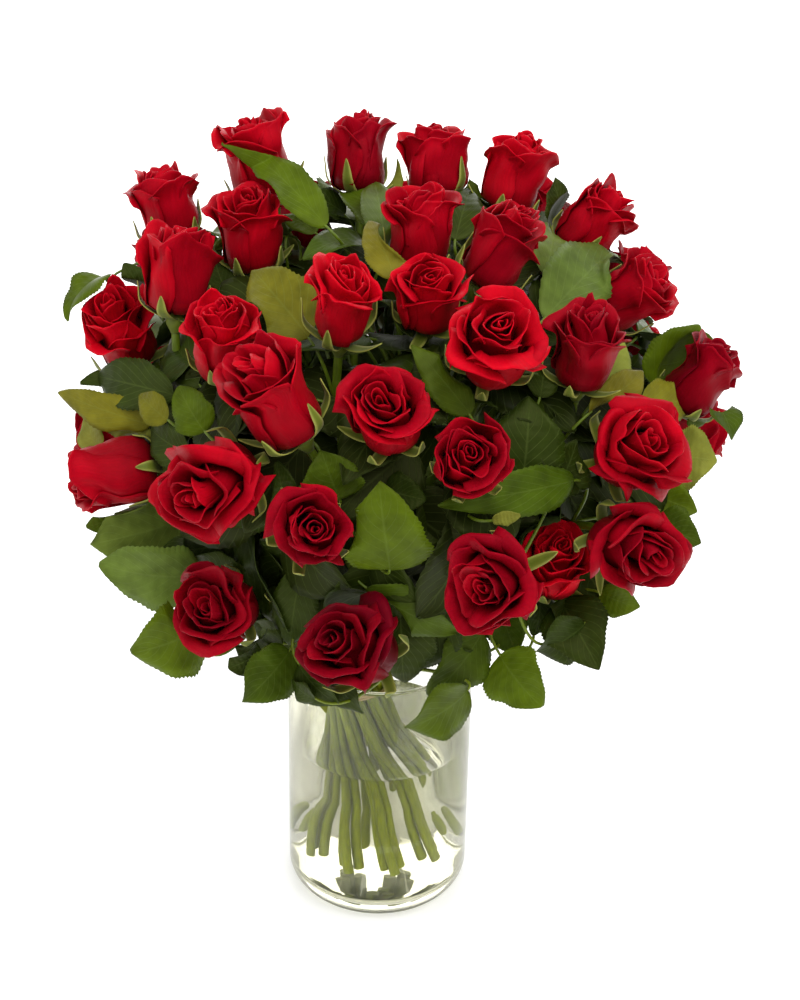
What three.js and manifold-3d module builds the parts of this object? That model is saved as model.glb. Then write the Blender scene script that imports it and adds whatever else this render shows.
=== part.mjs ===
// Roses in a vase: a hand-tied spiral bunch of red roses standing in a clear glass cylinder
// vase with water. Millimetres, +Z up, the origin at the centre of the vase's foot, and the
// front of the bunch towards -Y.
import * as THREE from "three";
import { mergeVertices } from "three/addons/utils/BufferGeometryUtils.js";
import Module from "manifold-3d";

const wasm = await Module();
wasm.setup();

// ---- driving dimensions
const CLEARANCE = 0.35;
const FINEST = 0.02;
const VASE = {
  radius: 50, height: 155, wall: 3, base: 8, corner: 13, lip: 1.2,
  sides: 30, outerSteps: 3, innerSteps: 2,
};
const WATER = { level: 95, holeRise: 10 };
const TIE = { height: 6, cord: 1.5, gap: 1.5, turns: 2, sides: 20 };
const WAIST = { x: -14, y: -4, z: 131, innerRing: 5.7, outerRing: 13.7, pressed: 1.7, innerCount: 4 };
const SPREAD = { scale: 2.75, turn: THREE.MathUtils.degToRad(61), depth: 116 };
const STEM = {
  radius: 2.1, footRadius: 2.7, sides: 5, steps: 3, footLow: 20, footHigh: 42, rise: 0.30, bend: 0.28,
  knots: [0.44, 0.51, 0.58, 0.65, 0.72, 0.79, 0.86],
};
const CALYX = { neck: 10, widest: 4.6, edge: 3.4, top: 4.2, gap: 1.6 };
const SEPAL = { rise: 0.20, droop: 0.20, flare: 4, longer: 3 };
const DOME = { centre: new THREE.Vector3(10, 0, 291), radius: 152, rise: 114 };
const LEAF = {
  thick: 1.5, stalk: 1.1, arch: 0.10, archVaries: 0.05, fold: 0.16, foldVaries: 0.10,
  tooth: 0.06, margin: 2.5, apart: 1.2, overrun: 0.05,
  shifts: [0, -3, 3, -6, 6, -9, -12, 9, -15, -18],
};
const BLOOM = {
  petals: 5, columns: 10, foot: 5.2, crown: 0.9, groove: 0.2, tip: 0.07, uneven: 0.03,
  tallBud: 1.12, tallLost: 0.22, squareness: 3,
};

// ---- the viewpoint that the seen blooms and leaves were placed from, by pixel (800 x 1000)
const VIEW = { pitch: 0.531, roll: 0.021, distance: 1207, focal: 2321, midX: 400, midY: 500 };
const VIEW_TARGET = new THREE.Vector3(8.8, 0, 243.2);

// Blooms: pixel x and y of the middle, width in mm, the way the face is turned in the picture
// (degrees anticlockwise from the right), how far it faces away from the viewer (degrees),
// how far it has opened (0 to 1), and the lift off the dome in mm.
const SEEN_BLOOMS = [
  [256, 155, 44, 110, 65, 0.5, 0],
  [358, 152, 38, 92, 80, 0.3, 0],
  [436, 158, 36, 100, 78, 0.3, 0],
  [516, 172, 38, 75, 72, 0.4, 0],
  [166, 203, 40, 100, 70, 0.5, 0],
  [249, 228, 44, 95, 55, 0.6, -3],
  [177, 268, 42, 88, 72, 0.3, 5],
  [420, 226, 38, 90, 60, 0.4, 0],
  [503, 245, 42, 60, 65, 0.4, 0],
  [596, 220, 42, 50, 70, 0.5, 0],
  [122, 328, 48, 110, 38, 0.6, 0],
  [343, 300, 42, 85, 50, 0.6, 4],
  [430, 295, 38, 85, 40, 0.6, -8],
  [634, 292, 40, 35, 65, 0.5, -4],
  [223, 338, 40, 95, 42, 0.5, -6],
  [494, 342, 49, 80, 28, 0.8, 6],
  [584, 345, 41, 85, 52, 0.5, 0],
  [271, 393, 50, 125, 58, 0.5, 6],
  [388, 411, 45, 95, 30, 0.7, 0],
  [703, 375, 40, 55, 72, 0.4, 0],
  [470, 461, 39, 90, 12, 0.5, 0],
  [637, 448, 52, 30, 25, 0.9, 0],
  [112, 474, 40, 188, 80, 0.2, 0],
  [213, 485, 54, 215, 30, 0.9, 4],
  [311, 530, 43, 45, 15, 0.7, 0],
  [490, 583, 50, 200, 22, 0.9, 4],
  [555, 562, 40, 90, 25, 0.6, -30],
  [634, 548, 50, 330, 28, 0.8, 6],
  [217, 607, 47, 160, 25, 0.7, 0],
  [353, 648, 52, 150, 30, 0.8, 0],
];

// Unseen blooms finish the back of the dome in rings: how many, the angle from the dome's
// top, the first and last angle round it from the front, the widths, and how much more than
// the dome each faces up. Each value is scattered by a seeded draw.
const BACK_RINGS = [
  { count: 5, polar: 60, from: 122, to: 238, wide: 43, open: 0.6, raised: 0.2 },
  { count: 7, polar: 97, from: 106, to: 262, wide: 46, open: 0.7, raised: 0.1 },
];
const SCATTER = { round: 4, polar: 5, lift: 4, raised: 0.1, wide: 4, open: 0.2 };

// Leaflets that show: pixel x and y of the base, then of the tip, the width in mm, and how
// far under the dome of blooms the base and the tip lie in mm.
const SEEN_LEAFLETS = [
  [326, 226, 246, 152, 19, 12, -14],
  [362, 226, 299, 244, 18, 16, 4],
  [387, 255, 374, 183, 17, 14, 0],
  [395, 279, 370, 221, 19, 14, 2],
  [309, 338, 252, 270, 32, 26, 10],
  [122, 318, 70, 302, 28, 20, 16],
  [160, 310, 124, 263, 18, 22, 16],
  [150, 425, 58, 392, 17, 20, 0],
  [160, 375, 80, 383, 14, 26, 10],
  [205, 432, 179, 386, 20, 22, 12],
  [200, 385, 176, 329, 21, 30, 22],
  [385, 200, 395, 155, 16, 12, 4],
  [545, 275, 553, 226, 20, 22, 12],
  [545, 318, 615, 249, 33, 20, 8],
  [650, 385, 704, 329, 32, 24, 8],
  [598, 392, 622, 340, 18, 20, 10],
  [540, 398, 545, 350, 15, 26, 18],
  [590, 415, 643, 371, 16, 18, 8],
  [640, 402, 691, 403, 21, 26, 12],
  [470, 415, 411, 345, 17, 24, 10],
  [520, 490, 529, 396, 35, 34, 24],
  [555, 492, 577, 440, 24, 34, 26],
  [575, 480, 438, 506, 20, 26, 16],
  [670, 455, 717, 461, 30, 24, 14],
  [645, 492, 697, 512, 22, 26, 12],
  [655, 522, 701, 543, 22, 28, 14],
  [600, 592, 640, 607, 16, 28, 16],
  [583, 565, 624, 628, 30, 30, 12],
  [560, 600, 599, 670, 30, 30, 10],
  [545, 600, 540, 647, 22, 30, 18],
  [500, 655, 542, 707, 31, 24, 4],
  [500, 612, 520, 664, 23, 22, 10],
  [482, 632, 428, 696, 28, 14, 0],
  [468, 690, 405, 728, 32, 12, 4],
  [366, 588, 457, 631, 25, 26, 12],
  [390, 570, 379, 482, 40, 24, 10],
  [385, 490, 426, 500, 19, 32, 24],
  [340, 500, 321, 450, 28, 26, 16],
  [287, 504, 277, 461, 15, 26, 18],
  [190, 455, 151, 428, 20, 28, 20],
  [180, 520, 90, 544, 32, 28, 14],
  [200, 575, 99, 563, 31, 32, 20],
  [205, 625, 131, 653, 40, 30, 14],
  [290, 650, 242, 702, 27, 24, 6],
  [328, 665, 364, 713, 17, 14, 2],
  [318, 658, 326, 713, 9, 10, -2],
  [302, 568, 290, 645, 21, 32, 22],
];

// Unseen leaves round the back, each of three leaflets on one rib, placed as the blooms are:
// the base lies above the ring and well under the dome, and the tip below the ring.
const BACK_LEAVES = [
  { count: 4, polar: 46, from: 132, to: 228, length: 74, wide: 84 },
  { count: 6, polar: 80, from: 112, to: 248, length: 80, wide: 90 },
  { count: 6, polar: 114, from: 104, to: 256, length: 84, wide: 92 },
];
const LEAF_SCATTER = { round: 5, swing: 9 };
const LEAF_REACH = { baseAbove: 14, baseUnder: 22, tipBelow: 12, tipUnder: 2 };

// ---- seeded draws
function seededDraws(seed) {
  let state = seed >>> 0;
  return (low, high) => {
    state = (Math.imul(state, 1664525) + 1013904223) >>> 0;
    return low + ((high - low) * state) / 4294967296;
  };
}

// ---- solids
// A closed skin over rings of points from one end to the other. A ring of one point is a
// pole, and a flat ring at an end is closed by a fan. Where horns are given, the faces of the
// band above their ring are each drawn out to a point.
function skin(rings, horns = { ring: null, tips: [] }) {
  const points = rings.flat();
  const triangles = [];
  for (let j = 1; j + 1 < rings[0].length; j += 1) {
    triangles.push([0, j + 1, j]);
  }
  let start = 0;
  rings.slice(0, -1).forEach((ring, k) => {
    const here = ring.length;
    const next = rings[k + 1].length;
    for (let j = 0; j < Math.max(here, next); j += 1) {
      const a = start + (j % here);
      const b = start + ((j + 1) % here);
      const c = start + here + (j % next);
      const d = start + here + ((j + 1) % next);
      if (ring === horns.ring) {
        const tip = points.push(horns.tips[j]) - 1;
        triangles.push([a, b, tip], [b, d, tip], [d, c, tip], [c, a, tip]);
      } else {
        if (here > 1) triangles.push([a, b, c]);
        if (next > 1) triangles.push([b, d, c]);
      }
    }
    start += here;
  });
  for (let j = 1; j + 1 < rings.at(-1).length; j += 1) {
    triangles.push([start, start + j, start + j + 1]);
  }
  return solidFrom(points, triangles);
}

// A solid of the joining library, with its faces turned to point out.
function solidFrom(points, triangles) {
  let volume = 0;
  for (const [a, b, c] of triangles) {
    volume += points[a].dot(new THREE.Vector3().crossVectors(points[b], points[c]));
  }
  const order = volume > 0 ? triangles : triangles.map(([a, b, c]) => [a, c, b]);
  return new wasm.Manifold(new wasm.Mesh({
    numProp: 3,
    vertProperties: new Float32Array(points.flatMap((point) => point.toArray())),
    triVerts: new Uint32Array(order.flat()),
  }));
}

function solidOfGeometry(geometry) {
  geometry.deleteAttribute("normal");
  geometry.deleteAttribute("uv");
  const merged = mergeVertices(geometry, 1e-4);
  const points = [];
  for (let i = 0; i < merged.attributes.position.count; i += 1) {
    points.push(new THREE.Vector3().fromBufferAttribute(merged.attributes.position, i));
  }
  const index = merged.index.array;
  const triangles = [];
  for (let i = 0; i < index.length; i += 3) {
    const corners = [index[i], index[i + 1], index[i + 2]];
    if (new Set(corners).size === 3) triangles.push(corners);
  }
  return solidFrom(points, triangles);
}

function geometryOf(solid) {
  const mesh = solid.getMesh();
  const geometry = new THREE.BufferGeometry();
  geometry.setAttribute("position", new THREE.BufferAttribute(mesh.vertProperties, 3));
  geometry.setIndex(new THREE.BufferAttribute(mesh.triVerts, 1));
  geometry.computeVertexNormals();
  return geometry;
}

// The largest outer skin of a solid, without loose scraps and with sealed hollows filled.
function outerSkin(solid) {
  const { vertProperties, triVerts, numTri } = solid.getMesh();
  const leader = Array.from({ length: vertProperties.length / 3 }, (_, i) => i);
  const find = (i) => {
    let at = i;
    while (leader[at] !== at) at = leader[at];
    return at;
  };
  const triangles = Array.from({ length: numTri }, (_, i) => [...triVerts.slice(3 * i, 3 * i + 3)]);
  triangles.forEach(([a, b, c]) => {
    leader[find(a)] = find(b);
    leader[find(b)] = find(c);
  });
  const sizes = new Map();
  triangles.forEach(([a]) => sizes.set(find(a), (sizes.get(find(a)) ?? 0) + 1));
  const [largest] = [...sizes].sort((one, other) => other[1] - one[1])[0];
  const kept = triangles.filter(([a]) => find(a) === largest);
  const used = [...new Set(kept.flat())];
  const renumbered = new Map(used.map((old, i) => [old, i]));
  const points = used.map((old) => new THREE.Vector3().fromArray(vertProperties, 3 * old));
  return solidFrom(points, kept.map((corners) => corners.map((old) => renumbered.get(old))));
}

// A turned shape from its outline, given as radius and height pairs.
function turned(outline, sides) {
  const points = outline.map(([radius, height]) => new THREE.Vector2(radius, height));
  return solidOfGeometry(new THREE.LatheGeometry(points, sides).rotateX(Math.PI / 2));
}

// ---- places
// Two directions that make a right-handed frame with the given axis.
function acrossAxis(axis) {
  const hint = Math.abs(axis.z) < 0.9 ? new THREE.Vector3(0, 0, 1) : new THREE.Vector3(0, 1, 0);
  const side = new THREE.Vector3().crossVectors(hint, axis).normalize();
  const over = new THREE.Vector3().crossVectors(axis, side);
  return [side, over];
}

const VIEW_FORWARD = new THREE.Vector3(0, Math.cos(VIEW.pitch), -Math.sin(VIEW.pitch));
const VIEW_UP = new THREE.Vector3(0, Math.sin(VIEW.pitch), Math.cos(VIEW.pitch));
const VIEW_RIGHT = new THREE.Vector3(1, 0, 0);
const VIEW_EYE = VIEW_TARGET.clone().addScaledVector(VIEW_FORWARD, -VIEW.distance);

function sightLine(px, py) {
  const across = px - VIEW.midX;
  const down = py - VIEW.midY;
  const x = Math.cos(VIEW.roll) * across + Math.sin(VIEW.roll) * down;
  const y = -Math.sin(VIEW.roll) * across + Math.cos(VIEW.roll) * down;
  const line = VIEW_FORWARD.clone().multiplyScalar(VIEW.focal);
  return line.addScaledVector(VIEW_RIGHT, x).addScaledVector(VIEW_UP, -y).normalize();
}

// Where a sight line meets the dome of blooms raised by lift, or comes nearest to it.
function onDome(px, py, lift) {
  const line = sightLine(px, py);
  const size = new THREE.Vector3(DOME.radius + lift, DOME.radius + lift, DOME.rise + lift);
  const origin = VIEW_EYE.clone().sub(DOME.centre).divide(size);
  const slope = line.clone().divide(size);
  const a = slope.dot(slope);
  const b = 2 * origin.dot(slope);
  const c = origin.dot(origin) - 1;
  const reach = (-b - Math.sqrt(Math.max(b * b - 4 * a * c, 0))) / (2 * a);
  return VIEW_EYE.clone().addScaledVector(line, reach);
}

// A point of the dome by its angle from the top and its angle round from the front.
function domePoint(polar, round, lift) {
  const p = THREE.MathUtils.degToRad(polar);
  const r = THREE.MathUtils.degToRad(round);
  const across = (DOME.radius + lift) * Math.sin(p);
  const offset = new THREE.Vector3(across * Math.sin(r), -across * Math.cos(r), 0);
  return offset.setZ((DOME.rise + lift) * Math.cos(p)).add(DOME.centre);
}

function domeNormal(point) {
  const radial = point.clone().sub(DOME.centre);
  radial.x /= DOME.radius ** 2;
  radial.y /= DOME.radius ** 2;
  radial.z /= DOME.rise ** 2;
  return radial.normalize();
}

// ---- blooms: their places, sizes and axes
function seenBloom([px, py, wide, turn, away, open, lift]) {
  const t = THREE.MathUtils.degToRad(turn);
  const f = THREE.MathUtils.degToRad(away);
  const axis = VIEW_FORWARD.clone().multiplyScalar(-Math.cos(f));
  axis.addScaledVector(VIEW_RIGHT, Math.sin(f) * Math.cos(t));
  axis.addScaledVector(VIEW_UP, Math.sin(f) * Math.sin(t));
  return { middle: onDome(px, py, lift), axis, wide, open };
}

function backBlooms({ count, polar, from, to, wide, open, raised }, ringIndex) {
  const draw = seededDraws(40 + ringIndex);
  const scattered = (value, spread) => value + draw(-spread, spread);
  return Array.from({ length: count }, (_, i) => {
    const round = scattered(from + ((to - from) * i) / (count - 1), SCATTER.round);
    const down = scattered(polar, SCATTER.polar);
    const middle = domePoint(down, round, scattered(0, SCATTER.lift));
    const axis = domeNormal(middle);
    axis.z += scattered(raised, SCATTER.raised);
    axis.normalize();
    return { middle, axis, wide: scattered(wide, SCATTER.wide), open: scattered(open, SCATTER.open) };
  });
}

const blooms = [
  ...SEEN_BLOOMS.map(seenBloom),
  ...BACK_RINGS.flatMap(backBlooms),
].map((bloom, i) => {
  const tall = bloom.wide * (BLOOM.tallBud - BLOOM.tallLost * bloom.open);
  const base = bloom.middle.clone().addScaledVector(bloom.axis, -tall / 2);
  return { ...bloom, index: i, tall, base };
});

// A bloom is one closed skin: a round base and belly, then the rims of three layers of petals
// with grooves between them, five petals to a rim, and the rolled bud in the middle. Grown, it
// is the space that the bloom takes up, without the grooves.
function bloomSkin({ base, axis, wide, open, tall, index }, grow) {
  const draw = seededDraws(500 + index);
  const [side, over] = acrossAxis(axis);
  const radius = wide / 2;
  const phase = draw(0, 2 * Math.PI);
  const layers = [
    { r: BLOOM.foot / radius, h: 0.0, petal: 0, turn: 0 },
    { r: 0.84 - 0.06 * open, h: 0.34, petal: 0, turn: 0 },
    { r: 0.93, h: 0.80 - 0.12 * open, petal: 1, turn: 0 },
    { r: 0.76, h: 0.64 - 0.08 * open, petal: BLOOM.groove, turn: 0 },
    { r: 0.63 + 0.05 * open, h: 0.94 - 0.05 * open, petal: 0.8, turn: 1 },
    { r: 0.44, h: 0.76, petal: BLOOM.groove, turn: 1 },
    { r: 0.34, h: 0.98, petal: 0.5, turn: 0 },
  ].filter(({ petal }) => grow === 0 || petal !== BLOOM.groove);
  const perPetal = BLOOM.columns / BLOOM.petals;
  const uneven = layers.map(() => Array.from({ length: BLOOM.petals }, () => draw(-1, 1)));
  const rings = layers.map(({ r, h, petal, turn }, k) => (
    Array.from({ length: BLOOM.columns }, (_, j) => {
      const shift = BLOOM.uneven * uneven[k][Math.floor(j / perPetal)];
      const tip = (j + turn) % perPetal === 0 ? BLOOM.tip : -BLOOM.tip;
      const ringRadius = (r + petal * (tip + shift)) * radius + grow;
      const height = (h + petal * (tip + shift)) * tall + grow * (k === 0 ? -1 : h);
      const angle = phase + (2 * Math.PI * j) / BLOOM.columns;
      const point = base.clone().addScaledVector(axis, height);
      point.addScaledVector(side, ringRadius * Math.cos(angle));
      return point.addScaledVector(over, ringRadius * Math.sin(angle));
    })
  ));
  rings.push([base.clone().addScaledVector(axis, BLOOM.crown * tall + grow)]);
  return skin(rings);
}

// A point is moved out of every bloom that it would lie in, or within the margin of. Blooms
// are taken as round blocks, and a point right at a bloom's middle is moved the most.
const MOST_GROWN = 0.02;
function clearOfBlooms(point, margin = LEAF.margin) {
  for (let round = 0; round < 2; round += 1) {
    for (const { middle, axis, wide, tall } of blooms) {
      const offset = point.clone().sub(middle);
      const along = offset.dot(axis);
      const radial = offset.clone().addScaledVector(axis, -along);
      const half = tall / 2 + margin;
      const girth = wide / 2 + margin;
      const power = BLOOM.squareness;
      const inside = (radial.length() / girth) ** power + (Math.abs(along) / half) ** power;
      if (inside < 1) {
        const grown = 1 / Math.max(inside, MOST_GROWN) ** (1 / power);
        point.copy(middle).addScaledVector(radial, grown).addScaledVector(axis, along * grown);
      }
    }
  }
  return point;
}

// ---- stems: bundles of three in two rings at the waist, each bundle serving three blooms
// next to each other, so that the stems fan out above and below without crossing
function roundAngle(point) {
  return Math.atan2(point.x - DOME.centre.x, -(point.y - DOME.centre.y));
}

function polarAngle({ middle }) {
  const offset = middle.clone().sub(DOME.centre);
  return Math.atan2(Math.hypot(offset.x, offset.y), offset.z);
}

function ringOfBundles(members, ringRadius) {
  const sorted = [...members].sort((a, b) => roundAngle(a.middle) - roundAngle(b.middle));
  const count = sorted.length / 3;
  const lead = roundAngle(sorted[1].middle);
  return Array.from({ length: count }, (_, k) => {
    const trio = sorted.slice(3 * k, 3 * k + 3);
    const angle = lead + (2 * Math.PI * k) / count + SPREAD.turn;
    const middle = new THREE.Vector3(Math.sin(angle), -Math.cos(angle), 0);
    middle.multiplyScalar(ringRadius).add(new THREE.Vector3(WAIST.x, WAIST.y, WAIST.z));
    const lowest = [...trio].sort((a, b) => polarAngle(b) - polarAngle(a))[0];
    const others = trio.filter((bloom) => bloom !== lowest);
    const places = [[lowest, 0], [others[0], -120], [others[1], 120]];
    return places.map(([bloom, degrees]) => {
      const a = angle + THREE.MathUtils.degToRad(degrees);
      const shift = new THREE.Vector3(Math.sin(a), -Math.cos(a), 0);
      return { bloom, waist: middle.clone().addScaledVector(shift, WAIST.pressed) };
    });
  });
}

const byHeight = [...blooms].sort((a, b) => polarAngle(a) - polarAngle(b));
const inner = byHeight.slice(0, 3 * WAIST.innerCount);
const outer = byHeight.slice(3 * WAIST.innerCount);
const bundles = [
  ...ringOfBundles(inner, WAIST.innerRing),
  ...ringOfBundles(outer, WAIST.outerRing),
];

// The straight stretch of a stem: where it is at a height near or below the waist. The stems
// lean from the waist, which lies to one side, to feet that spread round the vase's middle.
function straightStem(waist, z) {
  const t = (waist.z - z) / SPREAD.depth;
  const c = 1 - t + t * SPREAD.scale * Math.cos(SPREAD.turn);
  const s = t * SPREAD.scale * Math.sin(SPREAD.turn);
  const x = waist.x - WAIST.x;
  const y = waist.y - WAIST.y;
  const lean = 1 - t;
  return new THREE.Vector3(lean * WAIST.x + c * x - s * y, lean * WAIST.y + s * x + c * y, z);
}

// The curve of a stem from the waist up to the underside of its bloom.
function stemCurve({ waist, bloom }) {
  const end = bloom.base.clone().addScaledVector(bloom.axis, -CALYX.neck);
  const reach = waist.distanceTo(end);
  const rise = straightStem(waist, waist.z + STEM.rise * reach);
  const bend = end.clone().addScaledVector(bloom.axis, -STEM.bend * reach);
  return new THREE.CubicBezierCurve3(waist, rise, bend, end);
}

function ringAround(middle, axis, radius, sides) {
  const [side, over] = acrossAxis(axis);
  return Array.from({ length: sides }, (_, j) => {
    const angle = (2 * Math.PI * j) / sides;
    const point = middle.clone().addScaledVector(side, radius * Math.cos(angle));
    return point.addScaledVector(over, radius * Math.sin(angle));
  });
}

// A stem with its calyx, as one skin from the cut foot to the underside of the bloom. The
// calyx's edge is drawn out into the five sepals, which stand a little off the bloom's belly.
function stemSolid(stem) {
  const { waist, bloom, foot } = stem;
  const { axis, base, tall, wide, index } = bloom;
  const curve = stemCurve(stem);
  const low = straightStem(waist, foot);
  const rings = [ringAround(low, waist.clone().sub(low).normalize(), STEM.footRadius, STEM.sides)];
  for (let k = 0; k <= STEM.steps; k += 1) {
    const t = k / STEM.steps;
    rings.push(ringAround(curve.getPoint(t), curve.getTangent(t), STEM.radius, STEM.sides));
  }
  const below = (depth) => base.clone().addScaledVector(axis, -depth);
  rings.push(ringAround(below(CALYX.edge), axis, CALYX.widest, STEM.sides));
  rings.push(ringAround(below(CALYX.gap), axis, CALYX.top, STEM.sides));
  const draw = seededDraws(900 + index);
  const [side, over] = acrossAxis(axis);
  const tips = Array.from({ length: STEM.sides }, (_, j) => {
    const angle = (2 * Math.PI * (j + 0.5)) / STEM.sides;
    const reach = wide / 2 + SEPAL.flare + draw(0, SEPAL.longer);
    const rise = SEPAL.rise + draw(-SEPAL.droop, 0);
    const tip = base.clone().addScaledVector(axis, tall * rise);
    tip.addScaledVector(side, reach * Math.cos(angle));
    return tip.addScaledVector(over, reach * Math.sin(angle));
  });
  return skin(rings, { ring: rings.at(-2), tips });
}

// ---- leaves
// An outline lists the points of one edge from the stalk to the tip: how far along the rib,
// how far out from it, and the rib point that its triangles meet.
const LEAFLET = {
  rib: [0.34, 0.68],
  edge: [
    { along: 0.12, half: 0.52, rib: 0 }, { along: 0.32, half: 1.00, rib: 0 },
    { along: 0.50, half: 0.84, rib: 0 }, { along: 0.66, half: 0.80, rib: 1 },
    { along: 0.84, half: 0.38, rib: 1 },
  ],
};
const THREE_LEAFLETS = {
  rib: [0.24, 0.42, 0.70],
  edge: [
    { along: 0.12, half: 0.08, rib: 0 }, { along: 0.11, half: 0.55, rib: 0 },
    { along: 0.34, half: 1.00, rib: 0 }, { along: 0.40, half: 0.50, rib: 0 },
    { along: 0.41, half: 0.12, rib: 0 }, { along: 0.54, half: 0.48, rib: 1 },
    { along: 0.72, half: 0.50, rib: 2 }, { along: 0.87, half: 0.26, rib: 2 },
  ],
};

// The middle surface of a leaf, arched along its rib and folded along it, as a function of the
// share of its length and the distance out from the rib.
function leafSurface({ base, tip, normal, seed }) {
  const draw = seededDraws(seed);
  const length = base.distanceTo(tip);
  const along = tip.clone().sub(base).normalize();
  const side = new THREE.Vector3().crossVectors(normal, along).normalize();
  const up = new THREE.Vector3().crossVectors(along, side);
  const arch = length * (LEAF.arch + draw(-LEAF.archVaries, LEAF.archVaries));
  const fold = LEAF.fold + draw(-LEAF.foldVaries, LEAF.foldVaries);
  const height = (u, v) => 4 * arch * u * (1 - u) + fold * Math.abs(v);
  const at = (u, v) => base.clone().addScaledVector(along, u * length)
    .addScaledVector(side, v).addScaledVector(up, height(u, v));
  return { base, length, along, side, up, height, at };
}

// Whether a leaf passes through another: whether its points over the other's blade lie some
// above and some below it.
const SAMPLES = [0.05, 0.25, 0.5, 0.75, 1].flatMap((u) => [-0.7, 0, 0.7].map((v) => [u, v]));
function leafCrosses(leaf, other) {
  let above = 0;
  let below = 0;
  const surface = leafSurface(other);
  const own = leafSurface(leaf);
  SAMPLES.forEach(([u, v]) => {
    const taper = 4 * u * (1 - u);
    const offset = own.at(u, (v * taper * leaf.wide) / 2).sub(other.base);
    const there = offset.dot(surface.along) / surface.length;
    const out = offset.dot(surface.side);
    if (there < -LEAF.overrun || there > 1 + LEAF.overrun) return;
    if (Math.abs(out) > other.wide * (0.5 + LEAF.overrun)) return;
    const gap = offset.dot(surface.up) - surface.height(there, out);
    if (gap > -LEAF.apart) above += 1;
    if (gap < LEAF.apart) below += 1;
  });
  return above > 0 && below > 0;
}

// A leaf is shifted out or in until it passes through none of the leaves before it.
const placedLeaves = [];
function settleLeaf(leaf) {
  const shifts = LEAF.shifts.map((shift) => ({
    ...leaf,
    base: leaf.base.clone().addScaledVector(leaf.normal, shift),
    tip: leaf.tip.clone().addScaledVector(leaf.normal, shift),
  }));
  const crossings = shifts.map((shifted) => (
    placedLeaves.filter((other) => leafCrosses(shifted, other)).length
  ));
  const settled = shifts[crossings.indexOf(Math.min(...crossings))];
  placedLeaves.push(settled);
  return settled;
}

// A leaf on its stalk, as one solid: a thin stalk from the root, and an arched, folded blade.
// Both faces of the blade share the outline and are split into the same triangles, and the
// rib is the thick line between them.
function leafSolid({ root, base, tip, normal, wide, seed, shape }) {
  const draw = seededDraws(seed + 1);
  const { side, up, at } = leafSurface({ base, tip, normal, seed });
  const place = (u, v) => clearOfBlooms(at(u, v));
  const stalk = base.clone().sub(root).normalize();
  const stalkSide = side.clone().addScaledVector(stalk, -side.dot(stalk)).normalize();
  const stalkUp = new THREE.Vector3().crossVectors(stalk, stalkSide);
  const section = (middle, across, over) => [[0, 1], [1, 0], [0, -1], [-1, 0]].map(([a, b]) => (
    middle.clone().addScaledVector(across, a * LEAF.stalk).addScaledVector(over, b * LEAF.stalk)
  ));
  const points = [...section(root, stalkSide, stalkUp), ...section(base, side, up)];
  const triangles = [[0, 1, 2], [0, 2, 3]];
  for (let j = 0; j < 4; j += 1) {
    const next = (j + 1) % 4;
    triangles.push([j, 4 + j, next], [next, 4 + j, 4 + next]);
  }
  const end = points.push(place(1, 0)) - 1;
  const [top, left, bottom, right] = [4, 5, 6, 7];
  const faces = [[top, LEAF.thick / 2], [bottom, -LEAF.thick / 2]].map(([start, half]) => (
    [start, ...shape.rib.map((u) => points.push(place(u, 0).addScaledVector(up, half)) - 1)]
  ));
  const edges = [[left, 1], [right, -1]].map(([start, hand]) => [
    { at: start, rib: 0 },
    ...shape.edge.map(({ along: u, half, rib }) => {
      const out = half * (1 + draw(-LEAF.tooth, LEAF.tooth));
      return { at: points.push(place(u, (hand * out * wide) / 2)) - 1, rib: rib + 1 };
    }),
    { at: end, rib: shape.rib.length },
  ]);
  faces.forEach((rib, face) => edges.forEach((edge, hand) => {
    const upward = (face === hand);
    const add = (a, b, c) => triangles.push(upward ? [a, b, c] : [a, c, b]);
    edge.slice(1).forEach((next, k) => {
      const here = edge[k];
      if (next.rib !== here.rib) add(here.at, rib[here.rib], rib[next.rib]);
      add(here.at, rib[next.rib], next.at);
    });
  }));
  return solidFrom(points, triangles);
}

// ---- the stems with their calyx and sepals, fused in a node for each bundle, and for bundles
// that cross
const stems = bundles.flatMap((bundle, b) => bundle.map(({ bloom, waist }) => {
  const foot = seededDraws(200 + bloom.index)(STEM.footLow, STEM.footHigh);
  const stem = { bundle: b, bloom, waist, foot };
  const curve = stemCurve(stem);
  stem.knots = STEM.knots.map((t) => ({ point: curve.getPoint(t), used: 0 }));
  return stem;
}));

// A piece of a node, with its box so that far pieces are passed over quickly.
function piece(solid) {
  const { min, max } = solid.boundingBox();
  return { solid, box: new THREE.Box3(new THREE.Vector3(...min), new THREE.Vector3(...max)) };
}

let nodes = bundles.map((_, b) => {
  const members = stems.filter((stem) => stem.bundle === b);
  return { members, pieces: members.map((stem) => piece(stemSolid(stem))) };
});

function cross(one, other) {
  return one.box.intersectsBox(other.box) && one.solid.intersect(other.solid).volume() > 0;
}

function crossedBy(added) {
  return nodes.filter(({ pieces }) => pieces.some((own) => cross(own, added)));
}

// Several nodes become one, with the pieces that are added to them.
function fuse(joined, added = []) {
  const members = joined.flatMap((node) => node.members);
  const pieces = [...joined.flatMap((node) => node.pieces), ...added];
  nodes = [...nodes.filter((node) => !joined.includes(node)), { members, pieces }];
}

stems.forEach((stem) => {
  const node = nodes.find(({ members }) => members.includes(stem));
  const met = [...new Set(node.pieces.flatMap(crossedBy))];
  if (met.length > 1) fuse(met);
});

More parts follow.
